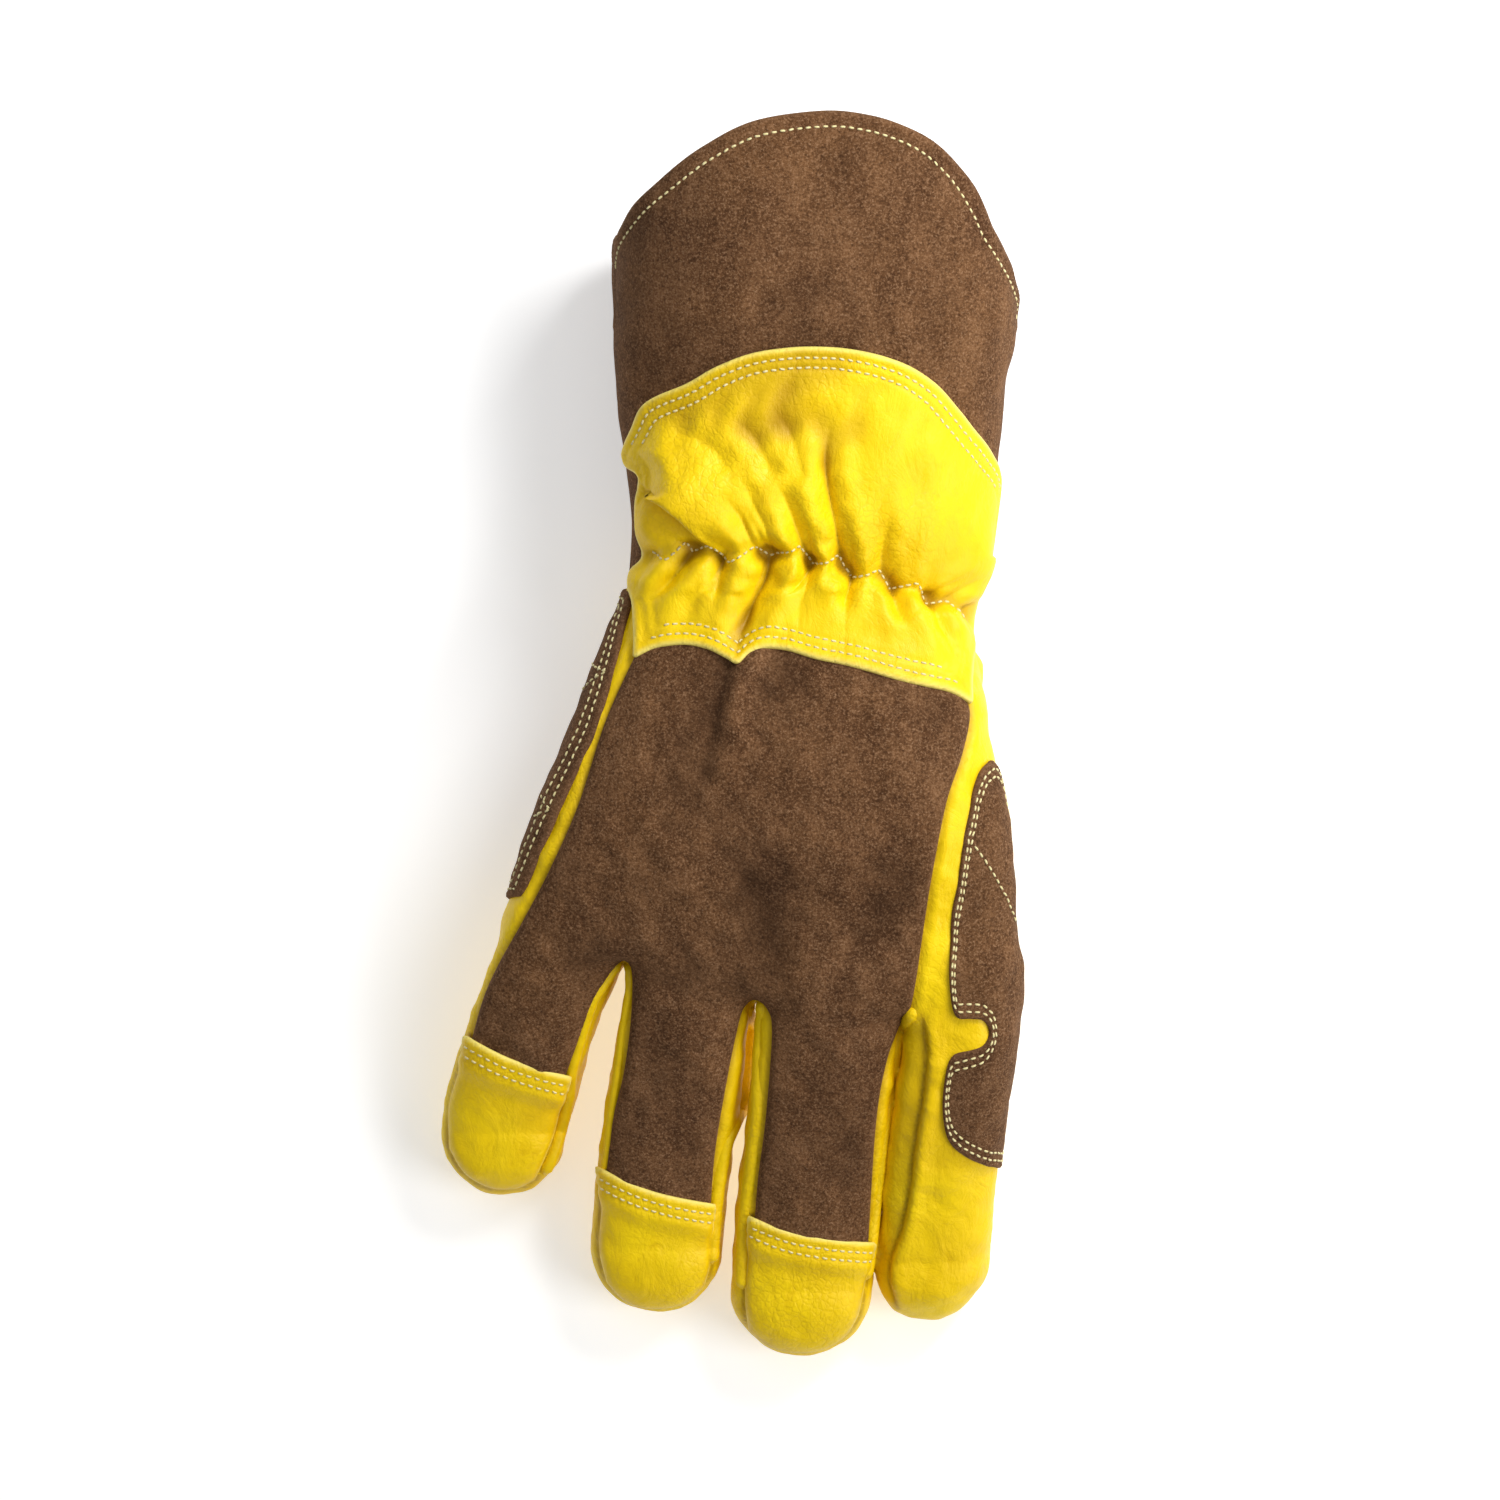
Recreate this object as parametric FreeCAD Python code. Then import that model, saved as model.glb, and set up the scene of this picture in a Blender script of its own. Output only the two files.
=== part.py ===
"""Leather welding glove for the right hand, 14 inches long, resting on its palm side.

Frame: +Y runs from the fingertips to the cuff's mouth, +X is the index finger's side and +Z is the back
of the hand. The origin is under the middle of the glove, on the surface that it rests on. All in mm.

Every tube of the glove (cuff, hand, fingers, thumb) is a list of stations. A station is one flattened
ring in a plane of constant Y, and each panel of leather is a sector of the tube's wall between two angles.
Angles are in degrees round the ring: 0 is the index side, 90 the back of the hand, 270 the palm side.
"""

import FreeCAD, Part

import math
import os
from collections import namedtuple

Station = namedtuple("Station", "y left right z half_height roll")

# Driving dimensions
LEATHER = 1.5            # grain leather and suede split
LINING = 0.9             # fleece lining of the hand
CUFF_LINING = 1.0        # canvas lining of the cuff
PLY_GAP = 0.8            # air between the hand's leather and its fleece
CUFF_PLY_GAP = 0.1       # air between the cuff's suede and its canvas
FLATNESS = 2.5           # power of the rings' outline: 2 is an ellipse, more is squarer
ROOT_GAP = 1.0           # slit between the hand and a finger, closed by the leather's fold
ARC_STEP = 9.0           # degrees between the points that a curve through one sector's arc is set by
DOME_STEPS = 4           # rings that round off a fingertip
CAP_OVERLAP = 1.0        # how far a fingertip's solid end starts before the lining's end
CAP_SHARE = 0.12         # flat at the very tip, as a share of the finger's width
PATCH_LIFT = 0.5         # clearance of a sewn-on ply over the one that it lies on

# The hand, from the gathered wrist to the roots of the fingers
HAND = [
    Station(53, -24.0, 70.0, 38.0, 18.5, 0.0),
    Station(38, -29.5, 67.5, 39.5, 19.5, 1.0),
    Station(20, -38.5, 71.0, 43.5, 21.5, 3.0),
    Station(0, -46.5, 74.0, 48.5, 22.5, 4.6),
    Station(-25, -56.5, 78.5, 50.0, 21.0, 4.6),
    Station(-50, -63.5, 81.5, 45.0, 18.5, 4.6),
    Station(-80, -71.0, 83.0, 39.5, 16.0, 4.6),
]
BACK_SEAMS = [
    (53, 20, 160),
    (38, 24, 156),
    (20, 28, 152),
    (0, 40, 149),
    (-25, 47, 146),
    (-50, 48, 146),
    (-80, 40, 150),
]

# The gauntlet cuff, from its seam at the wrist to its mouth
CUFF = [
    Station(51, -29.5, 75.5, 38.0, 27.5, 0.0),
    Station(70, -30.5, 77.0, 37.0, 31.0, 0.0),
    Station(95, -32.0, 79.0, 37.5, 34.5, 0.0),
    Station(125, -33.2, 82.5, 38.6, 37.6, 0.0),
    Station(180, -33.8, 84.0, 40.0, 40.0, 0.0),
]
CUFF_CORNERS = ((-36.0, 142.0), (86.0, 129.0))
CUFF_BACK_CROWN = (25.0, 178.4)
CUFF_PALM_CROWN = (25.0, 152.0)
PANEL_CORNERS = ((-34.0, 86.0), (82.0, 72.0))
PANEL_CROWN = (25.0, 112.0)
PANEL_FOOT = ((-60.0, 28.5), (90.0, 9.0))
ELASTIC_BAND = (41.0, 51.0)

# Each finger: the ring at its root, the ring where its tip starts to round off, and the tip
FINGERS = {
    "pinky": dict(
        rings=[
            Station(-61.5, -68.5, -30.5, 35.5, 14.0, 3.0),
            Station(-82, -75.5, -39.0, 29.0, 13.6, 2.0),
            Station(-100, -82.0, -43.5, 20.0, 13.2, 1.0),
            Station(-112, -84.6, -47.0, 14.5, 13.0, 0.0),
        ],
        tip_y=-131.5,
        tip_x=-65.6,
        tip_z=11.5,
        cap_y=-92.0,
    ),
    "ring": dict(
        rings=[
            Station(-67.0, -29.3, 4.2, 39.0, 14.5, 3.0),
            Station(-95, -34.0, 1.6, 31.5, 14.0, 2.0),
            Station(-122, -38.2, 0.0, 20.5, 13.6, 1.0),
            Station(-146, -40.2, -1.8, 13.8, 13.3, 0.0),
        ],
        tip_y=-165.5,
        tip_x=-20.8,
        tip_z=12.0,
        cap_y=-128.5,
    ),
    "middle": dict(
        rings=[
            Station(-75.0, 6.0, 48.2, 42.0, 15.0, 3.0),
            Station(-103, 5.0, 46.0, 33.5, 14.6, 2.0),
            Station(-132, 2.6, 43.2, 21.5, 14.0, 1.0),
            Station(-158, 1.0, 42.0, 14.0, 13.6, 0.0),
        ],
        tip_y=-178.4,
        tip_x=21.5,
        tip_z=12.2,
        cap_y=-139.0,
    ),
    "index": dict(
        rings=[
            Station(-77.5, 50.0, 82.4, 44.5, 14.5, 3.0),
            Station(-100, 48.3, 79.6, 37.5, 14.4, 2.0),
            Station(-125, 45.6, 77.6, 24.5, 13.9, 1.0),
            Station(-150, 43.6, 76.2, 13.8, 13.4, 0.0),
        ],
        tip_y=-168.0,
        tip_x=57.5,
        tip_z=12.0,
        cap_y=None,
    ),
}
BACK_ANGLES = (32, 148)      # a finger's back panel
FRONT_ANGLES = (218, 322)    # the palm side of a finger

# The thumb lies under the palm, and its base rises into the palm at the heel of the hand
THUMB_ROOT_Y = -4.0
THUMB_BASE = [
    Station(27, 41.0, 70.5, 34.0, 14.0, 0.0),
    Station(12, 38.5, 74.0, 25.0, 14.5, 0.0),
    Station(THUMB_ROOT_Y, 37.0, 75.5, 14.6, 13.8, 0.0),
]
THUMB_OPENING = ((44.0, 0.0, -20.0), (68.0, 24.0, 42.0))
THUMB = [
    Station(THUMB_ROOT_Y - ROOT_GAP, 37.0, 75.5, 14.4, 13.7, 0.0),
    Station(-27, 34.0, 72.5, 13.2, 13.0, 0.0),
    Station(-45, 31.5, 68.0, 12.6, 12.6, 0.0),
    Station(-56, 30.5, 65.5, 12.6, 12.6, 0.0),
]
THUMB_TIP = dict(tip_y=-73.0, tip_x=47.0, tip_z=11.0)

# Reinforcing patches of suede, as angles round the tube at each Y
PINKY_PATCH = [(43.0, 172, 200), (30, 164, 212), (0, 163, 222), (-25, 163, 222), (-42.0, 166, 210)]
INDEX_PATCH_HAND = [(-4.5, 12, 16), (-8, -3, 25), (-12, -20, 34), (-20, -27, 35), (-30, -36, 36), (-52, -40, 34), (-76.0, -40, 25)]
INDEX_PATCH_FINGER = [(-79.0, -48, 3), (-87, -48, 5), (-89.5, -48, 46), (-112, -46, 48), (-120, -36, 22)]


def superellipse(angle):
    """Point of a unit superellipse at an angle in degrees, as (across, up)."""
    c, s = math.cos(math.radians(angle)), math.sin(math.radians(angle))
    power = 2 / FLATNESS
    return math.copysign(abs(c) ** power, c), math.copysign(abs(s) ** power, s)


def ring_point(station, angle, inset=0.0, share=1.0):
    """Point on a station's outline, moved in by inset and then scaled by share, as a dome's rings are."""
    across, up = superellipse(angle)
    half_width = (station.right - station.left) / 2 - inset
    x, z = share * across * half_width, share * up * (station.half_height - inset)
    roll = math.radians(-station.roll)
    middle = (station.left + station.right) / 2
    return FreeCAD.Vector(
        middle + x * math.cos(roll) + z * math.sin(roll),
        station.y,
        station.z - x * math.sin(roll) + z * math.cos(roll),
    )


def between(rings, y):
    """The station at y, by straight interpolation between its neighbours."""
    for a, b in zip(rings, rings[1:]):
        if b.y <= y <= a.y or a.y <= y <= b.y:
            t = (y - a.y) / (b.y - a.y)
            return Station(*(p + (q - p) * t for p, q in zip(a, b)))
    raise ValueError(f"no ring at y = {y}")


def stretch(rings, start, end):
    """The rings from start to end, with new ones interpolated at both ends."""
    low, high = min(start, end), max(start, end)
    inner = [r for r in rings if low + 0.01 < r.y < high - 0.01]
    found = sorted([between(rings, low), between(rings, high), *inner], key=lambda r: -r.y)
    return found


def arc_steps(spans):
    """How many points the curve through the widest of some spans of angles takes."""
    return max(4, math.ceil(max(end - start for start, end in spans) / ARC_STEP))


def curve(points):
    spline = Part.BSplineCurve()
    spline.interpolate(points)
    return spline.toShape()


def sector_wire(station, span, steps, outer, inner, outer_share=1.0, inner_share=1.0):
    """Closed outline of a strip of wall, over a span of angles and from inset outer to inset inner."""
    start, end = span
    turn = [start + (end - start) * i / steps for i in range(steps + 1)]
    outside = [ring_point(station, a, outer, outer_share) for a in turn]
    inside = [ring_point(station, a, inner, inner_share) for a in reversed(turn)]
    return Part.Wire(
        [
            curve(outside),
            Part.makeLine(outside[-1], inside[0]),
            curve(inside),
            Part.makeLine(inside[-1], outside[0]),
        ]
    )


def ring_wire(station, inset=0.0, share=1.0):
    """A whole ring, as two half arcs so that its sides stay aligned from station to station."""
    halves = []
    steps = arc_steps([(0, 180)])
    for start in (0, 180):
        turn = [start + 180 * i / steps for i in range(steps + 1)]
        halves.append(curve([ring_point(station, a, inset, share) for a in turn]))
    return Part.Wire(halves)


def loft(wires):
    return Part.makeLoft(wires, True, True)


def sector(rings, angles, outer, inner):
    """A strip of wall along the rings. angles is (start, end), or a function of y that gives it."""
    spans = [angles(r.y) if callable(angles) else angles for r in rings]
    steps = arc_steps(spans)
    return loft([sector_wire(r, span, steps, outer, inner) for r, span in zip(rings, spans)])


def table_angles(table):
    """A function of y that interpolates angle pairs, from rows of (y, start, end)."""
    rows = sorted(table)

    def at(y):
        y = min(max(y, rows[0][0]), rows[-1][0])
        for (y0, a0, b0), (y1, a1, b1) in zip(rows, rows[1:]):
            if y0 <= y <= y1:
                t = (y - y0) / (y1 - y0)
                return a0 + (a1 - a0) * t, b0 + (b1 - b0) * t
        raise ValueError(f"no angles at y = {y}")

    return at


def patch(rings, table, lift, thickness):
    """A patch sewn on the tube. The table's rows of (y, start, end) are its outline."""
    at = table_angles(table)
    low, high = min(r[0] for r in table), max(r[0] for r in table)
    inner_ys = {r[0] for r in table} | {r.y for r in rings if low < r.y < high}
    stations = [between(rings, y) for y in sorted(inner_ys, reverse=True)]
    return sector(stations, at, -lift - thickness, -lift)


def lining_tube(rings, thickness, inset):
    """Two half tubes of lining that meet at the sides."""
    halves = [sector(rings, span, inset, inset + thickness) for span in ((0, 180), (180, 360))]
    return Part.makeCompound(halves)


def dome_ring(last, tip, y):
    """The full ring at y past a tube's last one, moved towards where the tip is, before it is scaled."""
    along = (last.y - y) / (last.y - tip["tip_y"])
    middle = (last.left + last.right) / 2 * (1 - along) + tip["tip_x"] * along
    half = (last.right - last.left) / 2
    z = last.z * (1 - along) + tip["tip_z"] * along
    return Station(y, middle - half, middle + half, z, last.half_height, 0.0)


def dome_rings(last, tip, end_y):
    """Rings that round off a tube from its last full ring to end_y, closer together as it turns in."""
    shares = [math.sin(i / DOME_STEPS * math.pi / 2) for i in range(1, DOME_STEPS + 1)]
    return [dome_ring(last, tip, last.y + (end_y - last.y) * share) for share in shares]


def dome_share(y, last_y, tip_y):
    """How wide a dome still is at y, as a share of its last full ring."""
    along = min(1.0, max(0.0, (last_y - y) / (last_y - tip_y)))
    return math.sqrt(max(0.0, 1 - along * along))


def capped_sector(rings, tip, angles, outer, inner):
    """A strip of a finger's wall that follows the rounded tip down to where the lining ends."""
    last = rings[-1]
    end_y = tip["tip_y"] + inner + CAP_OVERLAP
    steps = arc_steps([angles])
    wires = [sector_wire(r, angles, steps, outer, inner) for r in rings]
    for r in dome_rings(last, tip, end_y):
        outer_share = dome_share(r.y, last.y, tip["tip_y"] + outer)
        inner_share = dome_share(r.y, last.y, tip["tip_y"] + inner)
        wires.append(sector_wire(r, angles, steps, outer, inner, outer_share, inner_share))
    return loft(wires)


def end_cap(last, tip, inset):
    """The solid end of a fingertip, past the point where the lining ends."""
    wires = []
    for y in (tip["tip_y"] + inset + CAP_OVERLAP, tip["tip_y"] + inset / 2, tip["tip_y"]):
        share = max(dome_share(y, last.y, tip["tip_y"]), CAP_SHARE)
        wires.append(ring_wire(dome_ring(last, tip, y), 0.0, share))
    return loft(wires)


def finger_lining(rings, tip):
    """A sock of lining inside a finger, as two halves that meet at its sides."""
    inset = LEATHER + PLY_GAP
    halves = [capped_sector(rings, tip, span, inset, inset + LINING) for span in ((0, 180), (180, 360))]
    return Part.makeCompound(halves)


def plan_prism(points, top=200.0):
    """An upright prism over a closed plan outline. A point may be a tuple, or an arc's (middle, end)."""
    edges = []
    here = points[0]
    for p in points[1:]:
        if isinstance(p[0], tuple):
            middle, end = p
            edges.append(Part.Arc(*(FreeCAD.Vector(*q, -20) for q in (here, middle, end))).toShape())
            here = end
        else:
            edges.append(Part.makeLine(FreeCAD.Vector(*here, -20), FreeCAD.Vector(*p, -20)))
            here = p
    return Part.Face(Part.Wire(edges)).extrude(FreeCAD.Vector(0, 0, top))


def box(low, high):
    size = [h - l for l, h in zip(low, high)]
    return Part.makeBox(*size, FreeCAD.Vector(*low))


def knuckle_steps():
    """Space in front of the hand that belongs to the fingers, one box per finger."""
    edges = [-120.0, -29.9, 5.1, 49.1, 120.0]
    steps = []
    for (left, right), finger in zip(zip(edges, edges[1:]), FINGERS.values()):
        root = finger["rings"][0].y + ROOT_GAP
        steps.append(box((left, -120, -20), (right, root, 120)))
    return steps[0].multiFuse(steps[1:])


def hand_parts():
    parts = {}
    front = knuckle_steps()
    seams = table_angles(BACK_SEAMS)

    def palm_span(y):
        start, end = seams(y)
        return end, start + 360

    back_rings = stretch(HAND, 40.0, HAND[-1].y)
    parts["back_panel"] = sector(back_rings, seams, 0, LEATHER).cut(front)
    palm = sector(HAND, palm_span, 0, LEATHER).cut(front)
    band = stretch(HAND, *ELASTIC_BAND)
    parts["wrist_elastic"] = sector(band, (32, 148), 0.2, 1.0)
    lining = lining_tube(HAND, LINING, LEATHER + PLY_GAP).cut(front)

    # The thumb's base rises to the palm, which is open where they join
    hand_solid = loft([ring_wire(r) for r in HAND])
    base_outer = loft([ring_wire(r) for r in THUMB_BASE])
    hole = loft([ring_wire(r, LEATHER + LINING + PLY_GAP) for r in THUMB_BASE])
    base_inner = loft([ring_wire(r, LEATHER) for r in THUMB_BASE])
    parts["thumb_saddle"] = base_outer.cut(base_inner).cut(hand_solid)
    base_lining = base_inner.cut(hole).cut(hand_solid)
    opening = box(*THUMB_OPENING)
    parts["palm_panel"] = palm.cut(opening)
    parts["hand_lining"] = Part.makeCompound([lining.cut(opening), base_lining])

    parts["pinky_side_patch"] = patch(HAND, PINKY_PATCH, PATCH_LIFT, LEATHER)
    parts["index_side_patch_hand"] = patch(HAND, INDEX_PATCH_HAND, PATCH_LIFT, LEATHER)

    # The gathered wrist panel lies over the top of the back panel
    foot = stretch(HAND, 49.0, 8.0)
    panel = sector(foot, (27, 156), -PATCH_LIFT - LEATHER, -PATCH_LIFT)
    (x0, y0), (x1, y1) = PANEL_FOOT
    below = plan_prism([(x0, y0), (x1, y1), (x1, -60), (x0, -60), (x0, y0)])
    parts["wrist_panel_hand"] = panel.cut(below)
    return parts


def crown_prism(corners, crown, foot_y):
    """Plan area of a cuff piece: straight sides, and a crown that is one arc through its top."""
    left, right = corners
    return plan_prism([(left[0], foot_y), left, (crown, right), (right[0], foot_y), (left[0], foot_y)])


def cuff_parts():
    parts = {}
    back_area = crown_prism(CUFF_CORNERS, CUFF_BACK_CROWN, 0.0)
    palm_area = crown_prism(CUFF_CORNERS, CUFF_PALM_CROWN, 0.0)
    seam_angle = 4
    back_span = (seam_angle, 180 - seam_angle)
    palm_span = (180 - seam_angle, 360 + seam_angle)
    parts["cuff_back"] = sector(CUFF, back_span, 0, LEATHER).common(back_area)
    parts["cuff_palm"] = sector(CUFF, palm_span, 0, LEATHER).common(palm_area)
    inner = LEATHER + CUFF_PLY_GAP
    lining_back = sector(CUFF, back_span, inner, inner + CUFF_LINING).common(back_area)
    lining_palm = sector(CUFF, palm_span, inner, inner + CUFF_LINING).common(palm_area)
    parts["cuff_lining"] = Part.makeCompound([lining_back, lining_palm])
    over = stretch(CUFF, CUFF[0].y + 0.5, 124.0)
    panel = sector(over, (10, 170), -PATCH_LIFT - LEATHER, -PATCH_LIFT)
    parts["wrist_panel_cuff"] = panel.common(crown_prism(PANEL_CORNERS, PANEL_CROWN, 0.0))
    return parts


def finger_parts(name, finger):
    """A finger's leather, divided as it is cut and sewn, and its lining."""
    rings = finger["rings"]
    tip = {k: finger[k] for k in ("tip_y", "tip_x", "tip_z")}
    last = rings[-1]
    low, high = BACK_ANGLES
    parts = {}

    def walls(angles):
        return capped_sector(rings, tip, angles, 0, LEATHER)

    cap = end_cap(last, tip, LEATHER)
    if finger["cap_y"] is None:
        # The index finger is wrapped in one piece, with a fourchette only on its inner side
        parts[f"{name}_wrap"] = Part.makeCompound([walls((low - 180, high)), cap])
        parts[f"{name}_fourchette"] = walls((high, 360 + low - 180))
    else:
        cut = box((-200, finger["cap_y"], -60), (200, 0, 160))
        whole = walls((low, high))
        parts[f"{name}_back"] = whole.common(cut)
        parts[f"{name}_tip"] = Part.makeCompound([whole.cut(cut), cap])
        inner, outer = FRONT_ANGLES
        parts[f"{name}_front"] = walls((inner, outer))
        parts[f"{name}_fourchette_index_side"] = walls((outer - 360, low))
        parts[f"{name}_fourchette_pinky_side"] = walls((high, inner))
    parts[f"{name}_lining"] = finger_lining(rings, tip)
    return parts


def thumb_parts():
    parts = {}
    cap = end_cap(THUMB[-1], THUMB_TIP, LEATHER)
    parts["thumb_front"] = Part.makeCompound([capped_sector(THUMB, THUMB_TIP, (180, 360), 0, LEATHER), cap])
    parts["thumb_back"] = capped_sector(THUMB, THUMB_TIP, (0, 180), 0, LEATHER)
    parts["thumb_lining"] = finger_lining(THUMB, THUMB_TIP)
    return parts


def all_parts():
    parts = {**hand_parts(), **cuff_parts(), **thumb_parts()}
    for name, finger in FINGERS.items():
        parts.update(finger_parts(name, finger))
    index_rings = FINGERS["index"]["rings"]
    parts["index_side_patch_finger"] = patch(index_rings, INDEX_PATCH_FINGER, PATCH_LIFT, LEATHER)
    return parts


def main():
    os.makedirs("parts", exist_ok=True)
    for name, shape in all_parts().items():
        if not shape.isValid() or not shape.Solids:
            print("check", name, "valid", shape.isValid(), "solids", len(shape.Solids))
        shape.exportStep(f"parts/{name}.step")


main()
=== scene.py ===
import math

import bpy
import numpy as np
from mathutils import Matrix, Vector
from mathutils.kdtree import KDTree


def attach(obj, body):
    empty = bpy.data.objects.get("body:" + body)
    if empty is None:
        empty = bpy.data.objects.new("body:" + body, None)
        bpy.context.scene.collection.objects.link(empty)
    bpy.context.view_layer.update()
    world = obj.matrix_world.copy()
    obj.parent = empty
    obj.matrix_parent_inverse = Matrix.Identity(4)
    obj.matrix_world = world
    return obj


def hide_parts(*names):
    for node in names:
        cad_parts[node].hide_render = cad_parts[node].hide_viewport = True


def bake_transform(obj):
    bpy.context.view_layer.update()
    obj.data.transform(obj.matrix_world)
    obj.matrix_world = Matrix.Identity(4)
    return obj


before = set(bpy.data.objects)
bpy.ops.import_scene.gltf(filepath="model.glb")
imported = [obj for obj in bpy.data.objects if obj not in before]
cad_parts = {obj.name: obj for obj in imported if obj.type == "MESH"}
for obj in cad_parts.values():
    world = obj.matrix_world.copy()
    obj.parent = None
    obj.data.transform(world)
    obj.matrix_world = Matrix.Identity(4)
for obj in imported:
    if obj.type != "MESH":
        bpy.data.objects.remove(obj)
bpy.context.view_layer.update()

# Leather welding glove, palm down. Lengths are in millimetres here and become metres in makePiece.
mm = 0.001


def smoothThrough(knots, values, at):  # a cubic through the knots that never overshoots them
    gap, slope = np.diff(knots), np.diff(values) / np.diff(knots)
    both = slope[:-1] * slope[1:]
    lean = np.zeros(len(knots))
    lean[0], lean[-1] = slope[0], slope[-1]
    lean[1:-1] = np.where(both > 0, 2 * both / np.where(both > 0, slope[:-1] + slope[1:], 1), 0)
    i = np.clip(np.searchsorted(knots, at) - 1, 0, len(gap) - 1)
    t = (at - knots[i]) / gap[i]
    start = (2 * t**3 - 3 * t**2 + 1) * values[i] + (t**3 - 2 * t**2 + t) * gap[i] * lean[i]
    return start + (3 * t**2 - 2 * t**3) * values[i + 1] + (t**3 - t**2) * gap[i] * lean[i + 1]


def fade(t):  # 0 to 1 with soft ends
    t = np.clip(t, 0, 1)
    return t * t * (3 - 2 * t)


def bell(away, wide):
    return np.exp(-((away / wide) ** 2))


def softMin(a, b, reach):
    near = np.maximum(reach - np.abs(a - b), 0) / reach
    return np.minimum(a, b) - near * near * reach / 4


def softMax(a, b, reach):
    return -softMin(-a, -b, reach)


def ripple(points, size, seed, count=14):  # smooth random swell, about -1 to 1, with bumps of that size
    rng = np.random.default_rng(seed)
    way = rng.normal(size=(count, 3))
    way *= (2 * math.pi / size * rng.uniform(0.6, 1.5, count) / np.linalg.norm(way, axis=1))[:, None]
    return np.cos(points @ way.T + rng.uniform(0, 6.3, count)).sum(1) / math.sqrt(count * 1.5)


# The body under the panels: flattened tubes along Y
# Each ring is y, left, right, middle height, half height, roll in degrees
armRings = [
    (-84, -71.5, 82.3, 38.5, 15.5, 4.6),
    (-50, -64.3, 81.3, 45, 18.5, 4.6),
    (-25, -56.8, 79.6, 50, 21, 4.6),
    (0, -46.6, 75.6, 48.5, 22.5, 4.6),
    (20, -38.6, 72.3, 44.5, 22, 3),
    (33, -33.8, 68.4, 41.5, 20.5, 1.5),
    (42, -30, 69.8, 39.5, 20.5, 0.5),
    (52, -28.4, 73.4, 38.5, 23, 0),
    (64, -27.8, 75.2, 38, 27.5, 0),
    (80, -29.8, 77.2, 37.3, 32, 0),
    (105, -33, 79.8, 37.6, 35.3, 0),
    (122, -33.3, 83, 38.5, 37.4, 0),
    (190, -33.8, 84.4, 40, 40, 0),
]
digits = {
    "pinky": dict(
        rings=[
            (-112, -84.2, -47.2, 14.2, 13, 0),
            (-100, -82, -43.6, 20, 13.2, 1),
            (-82, -75.8, -38.6, 29, 13.6, 2),
            (-66, -70, -31.6, 35, 14, 3),
            (-45, -62, -24, 40.5, 15, 4),
        ],
        tip=(-131.3, -65.6, 11.5),
        bend=(-64, -94),
    ),
    "ring": dict(
        rings=[
            (-146, -40.4, -1.6, 13.8, 13.3, 0),
            (-122, -38.2, 0.8, 20.5, 13.6, 1),
            (-98, -34.6, 4.2, 30.5, 14, 2),
            (-74, -30.5, 6.2, 38, 14.6, 3),
            (-50, -26, 8, 43.5, 15.5, 4),
        ],
        tip=(-165.4, -20.8, 12),
        bend=(-76, -106),
    ),
    "middle": dict(
        rings=[
            (-158, 0.6, 42.2, 14, 13.6, 0),
            (-132, 2.4, 44, 21.5, 14, 1),
            (-103, 5.8, 47, 33.5, 14.6, 2),
            (-82, 8.2, 49.6, 40.5, 15, 3),
            (-58, 10, 52, 46, 16, 4),
        ],
        tip=(-178.2, 21.5, 12.2),
        bend=(-80, -110),
    ),
    "index": dict(
        rings=[
            (-150, 43.2, 76.2, 13.8, 13.4, 0),
            (-125, 44.9, 77.8, 24.5, 13.9, 1),
            (-100, 48, 79.8, 37, 14.4, 2),
            (-82, 50.4, 82.3, 43.5, 14.8, 3),
            (-58, 52, 82, 48, 16, 4),
        ],
        tip=(-168, 57.5, 12),
        bend=(-80, -110),
    ),
    "thumb": dict(
        rings=[
            (-56, 30.5, 65.5, 12.6, 12.6, 0),
            (-45, 31.5, 68, 12.6, 12.6, 0),
            (-27, 34, 72.5, 13.2, 13, 0),
            (-4, 37, 75.3, 14.5, 13.7, 0),
            (12, 38.5, 74, 25, 14.5, 0),
            (27, 41, 70.5, 34, 14, 0),
        ],
        tip=(-73, 47, 11),
        bend=(-7, -27),
    ),
}
flatness = 2.5  # 2 is an ellipse, more is squarer
knuckleLine = [(-75, -52), (-50, -58), (-29.6, -60), (7.8, -71), (52.4, -75.5), (84, -75)]


class Tube:
    def __init__(self, rings, tip=None):
        table = np.array(sorted(rings), float)
        self.ys = np.arange(table[0, 0], table[-1, 0] + 0.25, 0.5)
        left, right, self.height, self.half, roll = [
            smoothThrough(table[:, 0], table[:, i], self.ys) for i in range(1, 6)
        ]
        self.middle, self.wide, self.roll = (left + right) / 2, (right - left) / 2, np.radians(roll)
        self.tip = tip

    def axis(self, y):
        middle, height = np.interp(y, self.ys, self.middle), np.interp(y, self.ys, self.height)
        if self.tip:
            past = np.clip((self.ys[0] - y) / (self.ys[0] - self.tip[0]), 0, 1)
            middle = middle + (self.tip[1] - middle) * past
            height = height + (self.tip[2] - height) * past
        return middle, height

    def distance(self, x, y, z):
        middle, height = self.axis(y)
        wide, half, roll = [np.interp(y, self.ys, c) for c in (self.wide, self.half, self.roll)]
        across = (x - middle) * np.cos(roll) + (z - height) * np.sin(roll)
        up = (z - height) * np.cos(roll) - (x - middle) * np.sin(roll)
        size = (np.abs(across / wide) ** flatness + np.abs(up / half) ** flatness) ** (2 / flatness)
        reach = across**2 + up**2
        if self.tip:
            length = self.ys[0] - self.tip[0]
            past = np.maximum(self.ys[0] - y, 0) / length
            size, reach = size + past**2, reach + (past * length) ** 2
        size, reach = np.sqrt(np.maximum(size, 1e-6)), np.sqrt(reach)
        return reach - reach / size


arm = Tube(armRings)
tubes = {name: Tube(d["rings"], d["tip"]) for name, d in digits.items()}
fingerNames = ["pinky", "ring", "middle", "index"]


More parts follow.
